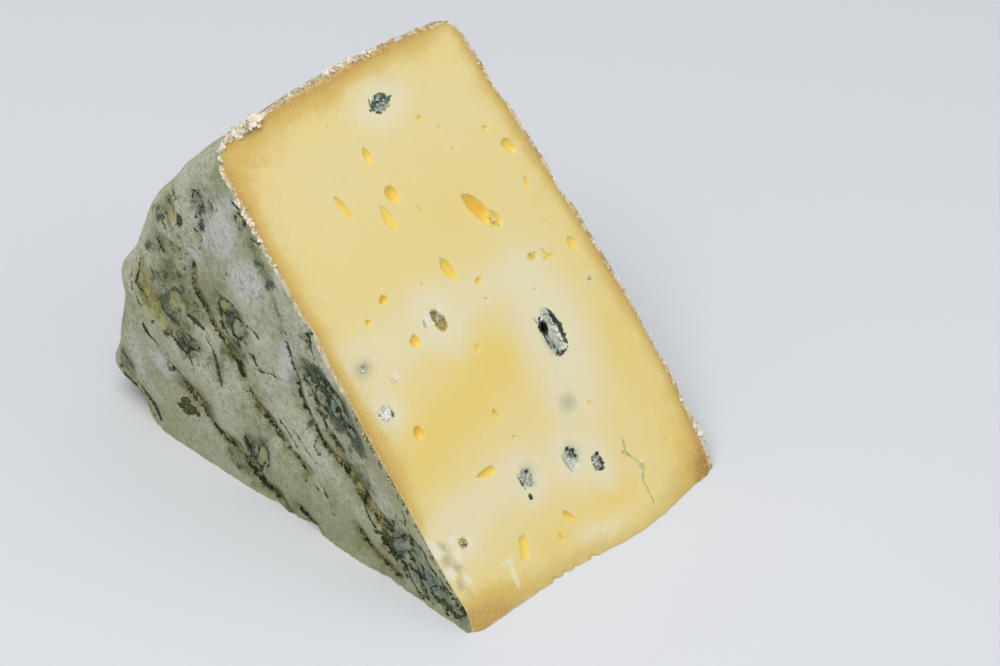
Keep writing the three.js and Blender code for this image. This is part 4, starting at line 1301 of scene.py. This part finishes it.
def pasteMaterial():
    colours = pasteColours
    bench = Bench("paste")
    cloudy = bench.noise(11, 3)
    grain = bench.noise(0.45, 3, 0.6)
    fine = bench.noise(0.7, 4, 0.6)
    tone = bench.wobble(bench.layer("tone"), cloudy, 0.28)
    colour = bench.blend(bench.step(tone, 0.0, 0.5), colours["cream"], colours["butter"])
    colour = bench.blend(bench.step(tone, 0.45, 1.05), colour, colours["gold"])
    colour = bench.blend(bench.layer("halo"), colour, colours["halo"])
    # the darker band under the rind; near the tip edge the same layer is painted shade
    bandAndTipShade = bench.wobble(bench.wobble(bench.layer("bandAndTipShade"), fine, 0.3), bench.noise(3, 2), 0.25)
    colour = bench.blend(bench.step(bandAndTipShade, 0.08, 0.6), colour, colours["bandAndTipShade"])
    colour = bench.blend(bench.step(bandAndTipShade, 0.55, 1.0), colour, colours["bandDeepAndTipShade"])
    amber = bench.wobble(bench.layer("amber"), bench.noise(3, 3), 0.3)
    colour = bench.blend(bench.math("MULTIPLY", bench.step(amber, 0.1, 0.9), 0.85), colour, colours["amber"])
    crumb = bench.math("MULTIPLY", bench.step(grain, 0.54, 0.62), bench.step(bandAndTipShade, 0.2, 0.6))
    colour = bench.blend(bench.math("MULTIPLY", crumb, 0.3), colour, colours["bandDeepAndTipShade"])
    pale = bench.math("MULTIPLY", bench.step(bench.noise(0.6, 4, 0.7), 0.52, 0.6), bench.step(bandAndTipShade, 0.5, 0.9))
    colour = bench.blend(bench.math("MULTIPLY", pale, 0.4), colour, colours["crust"])
    outer = bench.wobble(bench.layer("edge"), bench.noise(1.6, 5, 0.7), 3.4)
    colour = bench.blend(bench.math("MULTIPLY", bench.step(outer, 0.5, 0.0), 0.7), colour, colours["crust"])
    # inside the eyes: gold brightened as painted light, turning darker orange deeper down as painted shade
    eyeLightAndShade = bench.blend(bench.step(bench.layer("depth"), 0.6, 2.2), colours["eye"], colours["eyeDeepShade"])
    colour = bench.blend(bench.step(bench.layer("depth"), 0.1, 0.5), colour, eyeLightAndShade)

    smudge = bench.wobble(bench.layer("smudge"), bench.noise(3, 2), 1.6)
    colour = bench.blend(
        bench.math("MULTIPLY", bench.step(smudge, 1.6, -2.2), 0.5), colour, colours["smudge"])
    mould = bench.wobble(bench.layer("mould"), fine, 1.3)
    fuzz = bench.blend(bench.step(fine, 0.4, 0.6), colours["fuzz"], colours["fuzzGrey"])
    greenNoise = bench.math("ADD", bench.noise(1.3, 4, 0.6), bench.math(
        "MULTIPLY", bench.math("SUBTRACT", bench.layer("greenness"), 0.5), 0.34))
    fuzz = bench.blend(bench.step(greenNoise, 0.5, 0.6), fuzz, colours["fuzzGreen"])
    fuzz = bench.blend(bench.step(bench.layer("greenness"), -0.3, -0.6), fuzz, bench.blend(
        bench.step(fine, 0.4, 0.6), colours["floor"], colours["floorDark"]))
    # painted shade: the deep bottom of a mould pocket turns near black
    fuzz = bench.blend(bench.step(bench.layer("depth"), 1.7, 2.8), fuzz, colours["mouldDarkAndHoleShade"])
    colour = bench.blend(bench.step(mould, 0.2, -0.15), colour, fuzz)
    rim = bench.step(bench.math("ABSOLUTE", bench.math("ADD", mould, 0.12)), 0.4, 0.1)
    rim = bench.math("MULTIPLY", rim, bench.step(bench.math(
        "ADD", bench.noise(1.6, 4, 0.6), bench.math("MULTIPLY", bench.layer("greenness"), 0.1)), 0.6, 0.66))
    colour = bench.blend(
        rim, colour, bench.blend(bench.step(grain, 0.4, 0.6), colours["mouldDarkAndHoleShade"], colours["olive"]))
    grey = bench.wobble(bench.wobble(bench.layer("grey"), fine, 1.6), bench.noise(2.0, 4, 0.6), 1.6)
    greyTone = bench.blend(bench.step(fine, 0.5, 0.62), colours["grey"], colours["fuzzGrey"])
    colour = bench.blend(bench.math("MULTIPLY", bench.step(grey, 0.8, -1.0), 0.5), colour, greyTone)
    white = bench.wobble(bench.layer("white"), fine, 1.2)
    colour = bench.blend(bench.math("MULTIPLY", bench.step(white, 0.3, -0.3), 0.5), colour, colours["chalk"])
    dark = bench.wobble(bench.layer("dark"), fine, 1.0)
    colour = bench.blend(bench.step(dark, 0.15, -0.15), colour, bench.blend(
        bench.step(grain, 0.5, 0.62), colours["mouldDarkAndHoleShade"], colours["fuzzGreen"]))
    line = bench.math("SUBTRACT", bench.math("ABSOLUTE", bench.layer("lineAcross")), bench.layer("lineWidth"))
    line = bench.wobble(line, fine, 0.6)
    colour = bench.blend(bench.math("MULTIPLY", bench.step(line, 0.3, -0.15), 0.75), colour, colours["vein"])
    crack = bench.math(
        "SUBTRACT", bench.math("ABSOLUTE", bench.layer("crackAcross")), bench.layer("crackWidth"))
    crack = bench.wobble(bench.wobble(crack, fine, 1.1), bench.noise(1.5, 4, 0.65), 1.6)
    colour = bench.blend(bench.step(crack, 0.12, -0.12), colour, bench.blend(
        bench.step(grain, 0.45, 0.6), colours["mouldDarkAndHoleShade"], colours["fuzzGreen"]))
    relief = bench.math("ADD", bench.noise(1.8, 3), bench.math("MULTIPLY", grain, 0.35))
    fuzzy = bench.step(mould, 0.4, -0.6)
    relief = bench.math("ADD", relief, bench.math("MULTIPLY", fuzzy, bench.math("MULTIPLY", fine, 2)))
    bump = bench.bump(relief, 0.3, 0.0003)
    return bench.finish({"Base Color": colour, "Roughness": 0.42, "Normal": bump,
                         "Subsurface Weight": 0.3, "Subsurface Radius": (1.0, 0.6, 0.25),
                         "Subsurface Scale": 0.003, "Specular IOR Level": 0.35})


pasteTones = {
    # how far the darker band under the rind reaches on each side: its core and its fade
    "bandWidths": {"creased": (1.8, 5.6), "smooth": (1.5, 5.2), "wall": (3.0, 6.4)},
    # soft clouds of tone in the cuts: x, distance out, half-widths and strength
    "upperClouds": [
        (42, 51, 12, 8, 0.45), (24, 45, 14, 8, 0.45), (7, 39, 11, 7, 0.35), (34, 90, 30, 9, 0.04),
        (26, 106, 22, 9, -0.14), (66, 104, 12, 14, -0.12), (50, 85, 12, 8, 0.15), (52, 8, 9, 5, 0.35),
        (34, 8, 10, 5, 0.35), (10, 5, 8, 4, 0.4), (75, 36, 8, 24, 0.3), (78, 8, 8, 8, 0.35),
        (7, 65, 11, 8, -0.5), (24, 66, 12, 6, -0.3), (33, 66, 8, 7, -0.35), (48, 66, 16, 6, -0.4),
        (60, 52, 6, 14, -0.45), (54, 34, 7, 9, -0.45), (33, 25, 10, 7, -0.4), (48, 22, 9, 6, -0.3),
        (8, 22, 10, 8, -0.5), (20, 26, 10, 6, -0.35), (40, 5.5, 5, 3, -0.45), (47, 3.5, 6, 2.6, -0.5),
        (47, 115, 8, 7, -0.12), (22, 94, 6, 8, -0.1),
    ],
    "floorClouds": [
        (28, 60, 22, 14, 0.5), (58, 84, 18, 16, 0.3), (44, 24, 24, 10, -0.35), (20, 96, 16, 14, -0.2),
        (62, 44, 14, 12, -0.2),
    ],
}


def cutPlace(points):
    # side (True on the upper cut), distance from the tip edge along that cut, and depth below it
    y, z = points[:, 1], points[:, 2]
    belowUpper = y * math.sin(cutAngle) - z * math.cos(cutAngle)
    upper = belowUpper < z
    out = np.where(upper, y * math.cos(cutAngle) + z * math.sin(cutAngle), y)
    return upper, out, np.clip(np.minimum(belowUpper, z), 0, None)


def paintPaste(mesh):
    points = meshPoints(mesh)
    upper, out, depth = cutPlace(points)
    x = points[:, 0]
    radius, turn = wheelPlace(points)
    tone = np.full(len(points), 0.45)
    for side, clouds in ((True, "upperClouds"), (False, "floorClouds")):
        for cx, cOut, wide, high, strength in pasteTones[clouds]:
            cloud = np.exp(-((x - cx) / wide) ** 2 - ((out - cOut) / high) ** 2)
            tone += np.where(upper == side, strength * cloud, 0)
    toCreased = x - softRelief(points) - rind["thickness"]
    toSmooth = wheel["height"] - plainX(points) - rind["thickness"]
    toWall = wheel["radius"] - wheel["wallBulge"] * 0.3 - radius - rind["thickness"]
    ragged = 1 + 0.5 * layeredNoise(points, 5, 51, 3)
    bandAndTipShade = np.zeros(len(points))
    corner = 1 + 1.3 * np.exp(-((x - 5) / 11) ** 2 - ((radius - 122) / 12) ** 2)
    corner += 0.5 * np.exp(-(x / 14) ** 2 - ((radius - 47) / 15) ** 2)
    creasedShare = 0.08 + 0.92 * softStep(20, 42, radius) + 0.5 * softStep(11, 4, radius)
    sides = (("creased", toCreased, creasedShare), ("smooth", toSmooth, 1), ("wall", toWall, 1.1))
    for side, gap, share in sides:
        narrow, broad = pasteTones["bandWidths"][side]
        gap = np.clip(gap, 0, None) / (ragged * corner)
        layer = share * (0.7 * np.exp(-(gap / narrow) ** 1.3) + 0.42 * np.exp(-gap / broad))
        bandAndTipShade = np.maximum(bandAndTipShade, layer)
    # painted shade: the paste darker near the creased end of the tip edge
    bandAndTipShade += 0.55 * np.exp(-((x - 6) / 10) ** 2) * softStep(14, 4, out)
    bandAndTipShade += 0.36 * softStep(62, 83, x) * softStep(26, 4, out)
    fromEdge = out - tipShift(x)
    # painted shade: the paste darker along the tip edge, where the cut rounds off
    bandAndTipShade += 0.42 * softStep(9, 0, fromEdge)
    halo = np.zeros(len(points))
    mould = np.full(len(points), 20.0)
    greenness = np.zeros(len(points))
    for side, eyes in ((True, mouldyEyes), (False, floorMouldyEyes)):
        for cx, cOut, wide, long, _, lean, green in eyes:
            mark = blob(cx, cOut, wide / 2, long / 2, -lean)
            gap = np.where(upper == side, blobGap(mark, x, out), 20.0)
            size = (wide + long) / 2
            halo = np.maximum(halo, softStep(1.5 * size, 0.1 * size, gap) * min(1, size / 3))
            halo = np.maximum(halo, softStep(2.0, 0.9, gap) * min(1, size / 3))
            greenness = np.where(gap < mould, green, greenness)
            mould = np.minimum(mould, gap)
    edge = np.clip(np.minimum(np.minimum(toCreased, toSmooth), toWall), 0, 20)
    depth = depth * softStep(1.2, 4.5, out) * (1 - softStep(9, 4, x) * softStep(9, 4, out))
    layers = {"tone": tone, "bandAndTipShade": bandAndTipShade, "edge": edge, "halo": halo * 0.85, "mould": mould,
              "greenness": greenness, "depth": depth}
    for kind in ("dark", "smudge", "grey", "white"):
        layers[kind] = np.where(upper, marksGap(pasteMarks[kind], x, out), 20.0)
    layers["white"] = np.minimum(layers["white"], fromEdge + 0.1 + 0.5 * latticeNoise(points, 2.5, 91))
    layers["amber"] = softStep(70, 82, x) * softStep(11, 1, fromEdge)
    for kind in ("line", "crack"):
        across, width = lineField(pasteMarks[kind], x, out)
        layers[kind + "Across"] = across
        layers[kind + "Width"] = np.where(upper, width, -20.0)
    for name, values in layers.items():
        paintPoints(mesh, name, values)


def paintRind(mesh):
    points = meshPoints(mesh)
    for kind, gap in rindGaps(points).items():
        paintPoints(mesh, kind, gap)
    for kind in ("crease", "line"):
        across, width = rindLines(points, kind)
        paintPoints(mesh, kind + "Across", across)
        paintPoints(mesh, kind + "Width", width)
    upper, out, depth = cutPlace(points)
    paintPoints(mesh, "edge", depth - np.where(upper, 1.0 * softStep(30, 60, points[:, 0]), 0))
    onCreased = softStep(12, 6, points[:, 0])
    lowEdge = onCreased * softStep(72, 50, out + 6 * latticeNoise(points, 5, 81))
    paintPoints(mesh, "lowEdge", np.where(upper, lowEdge, 0))


flakes = {
    "thickness": (0.12, 0.3),
    "tilt": 50,
    # along the wheel's outline from its centre on the creased face: start, end, count and size
    "runs": (
        (94, 118, 36, 1.9), (118, 125, 14, 2.2), (125, 131, 20, 2.8), (131, 140, 34, 3.8),
        (140, 163, 26, 1.5), (163, 178, 44, 2.2), (178, 200, 20, 1.2), (203, 316, 60, 1.3),
        (317, 323, 18, 2.2), (40, 94, 30, 0.6), (94, 200, 110, 0.6), (200, 320, 90, 0.6),
    ),
}


def crustFlakes():
    # crumpled plates torn up along the edge between the rind and the upper cut
    pick = np.random.default_rng(8)
    outline = np.array(wheelProfile(0, 1.0, 1.0, 1.0))
    lengths = np.hypot(*(outline[1:] - outline[:-1]).T)
    along = np.concatenate([[0], np.cumsum(lengths)])
    shape = bmesh.new()
    for start, end, count, size in flakes["runs"]:
        for _ in range(count):
            spot = pick.uniform(start, end)
            x = np.interp(spot, along, outline[:, 0])
            out = np.interp(spot, along, outline[:, 1]) - wheel["knifeMiss"] * math.cos(cutAngle / 2)
            rim = np.array([[x, out * math.cos(cutAngle), out * math.sin(cutAngle)]])
            rim = settled(rim, 0, False)[0]
            inward = pick.uniform(0.0, 0.9)
            if x < 6:
                rim[0] += inward
            elif x > wheel["height"] - 5:
                rim[0] -= inward
            else:
                rim[1] -= inward * math.cos(cutAngle)
                rim[2] -= inward * math.sin(cutAngle)
            leaf = bmesh.new()
            corners = int(pick.integers(5, 8))
            bmesh.ops.create_circle(leaf, cap_ends=True, cap_tris=True, segments=corners, radius=1)
            for vert in leaf.verts:
                vert.co *= pick.uniform(0.6, 1.2)
            bmesh.ops.subdivide_edges(leaf, edges=leaf.edges, cuts=1, use_grid_fill=True)
            long = size * 0.5 * pick.uniform(0.45, 1.0)
            wide = long * pick.uniform(0.45, 0.9)
            for vert in leaf.verts:
                vert.co.x *= long
                vert.co.y *= wide
                vert.co.z = pick.uniform(-0.12, 0.12) * long
            thickness = pick.uniform(*flakes["thickness"]) * min(1, size)
            bmesh.ops.solidify(leaf, geom=leaf.faces, thickness=thickness)
            tilt = math.radians(flakes["tilt"])
            place = Matrix.Translation(rim) @ Matrix.Rotation(cutAngle, 4, "X")
            place = place @ Matrix.Translation((0, 0, pick.uniform(-0.05, 0.2) * size))
            place = place @ Matrix.Rotation(pick.uniform(-tilt, tilt), 4, "X")
            place = place @ Matrix.Rotation(pick.uniform(-tilt, tilt), 4, "Y")
            place = place @ Matrix.Rotation(pick.uniform(0, 2 * math.pi), 4, "Z")
            bmesh.ops.transform(leaf, matrix=place, verts=leaf.verts)
            bmesh.ops.recalc_face_normals(leaf, faces=leaf.faces)
            part = bpy.data.meshes.new("flake")
            leaf.to_mesh(part)
            leaf.free()
            shape.from_mesh(part)
            bpy.data.meshes.remove(part)
    mesh = bpy.data.meshes.new("crustFlakes")
    shape.to_mesh(mesh)
    shape.free()
    return mesh


crumbs = {
    "roughness": 0.09,
    # heaps on the upper cut: x, distance out, half-widths, count, size, depth and greenness
    "heaps": (
        (46.9, 115.3, 2.0, 1.5, 40, 0.32, 0.35, 0.7), (8.0, 54.0, 1.4, 1.3, 44, 0.42, 0.25, -0.08),
        (59.8, 78.8, 0.9, 1.5, 22, 0.36, 0.6, -1.0), (58.4, 53.6, 1.1, 0.7, 22, 0.36, 0.5, 0.1),
        (60.2, 48.6, 0.5, 3.0, 34, 0.36, 0.5, 0.1), (57.4, 45.8, 0.8, 0.9, 12, 0.3, 0.9, 0.6),
        (30.6, 66.6, 0.4, 1.6, 24, 0.36, 0.3, 0.0), (45.2, 21.0, 0.4, 1.5, 14, 0.26, 0.15, 0.1),
        (47.0, 23.4, 0.8, 0.9, 16, 0.26, 0.2, 0.7), (52.3, 17.8, 0.9, 1.3, 26, 0.3, 0.5, 0.4),
        (9.1, 20.2, 1.4, 1.3, 26, 0.26, 0.15, -0.3), (32.6, 23.6, 0.9, 1.2, 20, 0.26, 0.3, 0.4),
        (14.0, 59.2, 0.9, 0.7, 12, 0.28, 0.15, 0.0), (64.3, 67.0, 0.9, 0.5, 12, 0.26, 0.2, -0.8),
        (62.8, 11.2, 0.5, 0.6, 8, 0.24, 0.2, 0.0), (7.6, 65.2, 1.0, 0.7, 10, 0.24, 0.0, 0.3),
    ),
}


def mouldCrumbs():
    # small uneven lumps heaped in the pockets of mould
    pick = np.random.default_rng(14)
    shape = bmesh.new()
    for x, out, wide, long, count, size, sink, _ in crumbs["heaps"]:
        for _ in range(count):
            a, b = x + wide * pick.normal(0, 0.6), out + long * pick.normal(0, 0.6)
            lift = -sink * pick.uniform(0.4, 1.1)
            place = Matrix.Rotation(cutAngle, 4, "X") @ Matrix.Translation((a, b, lift))
            stretch = Matrix.Diagonal(
                (pick.uniform(0.7, 1.3), pick.uniform(0.7, 1.3), pick.uniform(0.6, 1.0), 1))
            radius = size * pick.uniform(0.4, 1.0)
            bmesh.ops.create_icosphere(shape, subdivisions=2, radius=radius, matrix=place @ stretch)
    mesh = bpy.data.meshes.new("mouldCrumbs")
    shape.to_mesh(mesh)
    shape.free()
    points = meshPoints(mesh)
    shift = np.stack([latticeNoise(points, 0.3, seed) for seed in (3, 4, 5)], axis=1)
    setMeshPoints(mesh, points + crumbs["roughness"] * shift)
    fixNormals(mesh)
    return mesh


def paintCrumbs(mesh):
    points = meshPoints(mesh)
    _, out, _ = cutPlace(points)
    nearest = np.full(len(points), 99.0)
    green = np.zeros(len(points))
    for x, heapOut, *_, greenness in crumbs["heaps"]:
        gap = np.hypot(points[:, 0] - x, out - heapOut)
        green = np.where(gap < nearest, greenness, green)
        nearest = np.minimum(nearest, gap)
    paintPoints(mesh, "greenness", green)


def flakeMaterial():
    colours = rindColours
    bench = Bench("crustFlakes")
    piece = bench.noise(1.6, 2, 0.5)
    colour = bench.blend(bench.step(piece, 0.37, 0.45), colours["flakeTan"], colours["flakePale"])
    colour = bench.blend(bench.step(bench.noise(3.1, 2), 0.56, 0.62), colour, colours["flakeGrey"])
    speck = bench.step(bench.noise(0.5, 3, 0.7), 0.56, 0.66)
    colour = bench.blend(bench.math("MULTIPLY", speck, 0.5), colour, colours["flakeTan"])
    bump = bench.bump(bench.noise(0.4, 3), 0.4, 0.0002)
    return bench.finish({"Base Color": colour, "Roughness": 0.75, "Normal": bump, "Specular IOR Level": 0.3})


def crumbMaterial():
    colours = pasteColours
    bench = Bench("mouldCrumbs")
    spot = bench.math("ADD", bench.noise(0.7, 3, 0.6), bench.math("MULTIPLY", bench.layer("greenness"), 0.3))
    colour = bench.blend(bench.step(spot, 0.5, 0.62), colours["chalk"], colours["fuzz"])
    colour = bench.blend(bench.step(spot, 0.62, 0.7), colour, colours["fuzzGrey"])
    colour = bench.blend(bench.step(spot, 0.72, 0.8), colour, colours["fuzzGreen"])
    yellow = bench.blend(bench.step(bench.noise(0.7, 3, 0.6), 0.5, 0.6), colours["crumb"], colours["floor"])
    colour = bench.blend(bench.step(bench.layer("greenness"), -0.1, -0.4), colour, yellow)
    return bench.finish({"Base Color": colour, "Roughness": 0.8, "Specular IOR Level": 0.2})


coreSteps = rind["coreSteps"]
core = wheelSector("core", wheelProfile(rind["thickness"], *coreSteps), rind["coreTurns"], 2.0)
settleWheel(core, rind["thickness"], False)
skin = wheelSector("skin", wheelProfile(0, *rind["steps"]), rind["turns"], 0.0)
settleWheel(skin, 0, True)
core = cutMesh(core, [("UNION", tipRod(rind["thickness"]))])
skin = cutMesh(skin, [("UNION", tipRod(0))])
print("stage: wheel shaped,", len(skin.polygons), "skin faces")

blank = knifeBlank()
rindMesh = cutMesh(skin, [("DIFFERENCE", core), ("INTERSECT", blank)])
print("stage: rind cut,", len(rindMesh.polygons), "faces")
pits = eyeCutters()
pasteMesh = cutMesh(blank, [("INTERSECT", core), ("DIFFERENCE", pits[0]), ("DIFFERENCE", pits[1])])
print("stage: paste cut,", len(pasteMesh.polygons), "faces")

paintRind(rindMesh)
paintPaste(pasteMesh)
for mesh, sharpest in ((rindMesh, 50), (pasteMesh, 40)):
    mesh.polygons.foreach_set("use_smooth", [True] * len(mesh.polygons))
    mesh.set_sharp_from_angle(angle=math.radians(sharpest))

rindPiece = addPiece("rind_skin", rindMesh, rindMaterial())
pastePiece = addPiece("paste_body", pasteMesh, pasteMaterial())
flakesPiece = addPiece("crust_flakes", crustFlakes(), flakeMaterial())
crumbsMesh = mouldCrumbs()
paintCrumbs(crumbsMesh)
crumbsPiece = addPiece("mould_crumbs", crumbsMesh, crumbMaterial())
for piece in (rindPiece, pastePiece, flakesPiece, crumbsPiece):
    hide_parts("cheese_wedge")
print("stage: flakes made,", len(flakesPiece.data.polygons), "faces")
print("stage: crumbs made,", len(crumbsPiece.data.polygons), "faces")
print("stage: materials on")


stage = {
    "floorSize": 6.0,
    "floorColour": shade(222, 224, 228),
    "lens": 129.6,
    "azimuth": -45.9,
    "elevation": 38.2,
    "distance": 0.809,  # metres, along the view
    "aim": (0.0054, 0.0689),  # metres right of and above the tip edge's creased end
}


def areaLight(name, place, target, size, power, colour):
    data = bpy.data.lights.new(name, "AREA")
    data.shape = "DISK"
    data.size = size
    data.energy = power
    data.color = colour
    light = bpy.data.objects.new(name, data)
    light.location = place
    light.rotation_euler = (Vector(target) - Vector(place)).to_track_quat("-Z", "Y").to_euler()
    bpy.context.scene.collection.objects.link(light)


def setStage():
    shape = bmesh.new()
    bmesh.ops.create_grid(shape, x_segments=1, y_segments=1, size=stage["floorSize"] / 2)
    floorMesh = bpy.data.meshes.new("floor")
    shape.to_mesh(floorMesh)
    shape.free()
    floor = bpy.data.objects.new("floor", floorMesh)
    bpy.context.scene.collection.objects.link(floor)
    floorBench = Bench("floorPaper")
    floorMesh.materials.append(floorBench.finish({"Base Color": stage["floorColour"], "Roughness": 0.9}))

    world = bpy.data.worlds.new("studio")
    world.use_nodes = True
    world.node_tree.nodes["Background"].inputs["Color"].default_value = (0.80, 0.84, 0.90, 1)
    world.node_tree.nodes["Background"].inputs["Strength"].default_value = 0.5
    bpy.context.scene.world = world
    middle = (0, 0, 0.04)
    areaLight("keyLight", (-0.40, -0.10, 1.1), middle, 0.9, 8.6, (1.0, 0.985, 0.96))
    areaLight("fillLight", (0.5, -0.8, 0.6), middle, 0.9, 1.6, (0.96, 0.98, 1.0))


def setCamera():
    azimuth, elevation = math.radians(stage["azimuth"]), math.radians(stage["elevation"])
    ahead = Vector((-math.sin(azimuth), math.cos(azimuth), 0))
    right = Vector((math.cos(azimuth), math.sin(azimuth), 0))
    forward = ahead * math.cos(elevation) - Vector((0, 0, math.sin(elevation)))
    upward = ahead * math.sin(elevation) + Vector((0, 0, math.cos(elevation)))
    data = bpy.data.cameras.new("camera")
    data.lens = stage["lens"]
    data.sensor_width = 36
    camera = bpy.data.objects.new("camera", data)
    tipEnd = toRow @ Vector((0, 0, 0))
    aim = stage["aim"]
    camera.location = tipEnd + right * aim[0] + upward * aim[1] - forward * stage["distance"]
    camera.rotation_euler = forward.to_track_quat("-Z", "Y").to_euler()
    bpy.context.scene.collection.objects.link(camera)
    bpy.context.scene.camera = camera


setStage()
setCamera()
bpy.context.scene.view_settings.view_transform = "Standard"
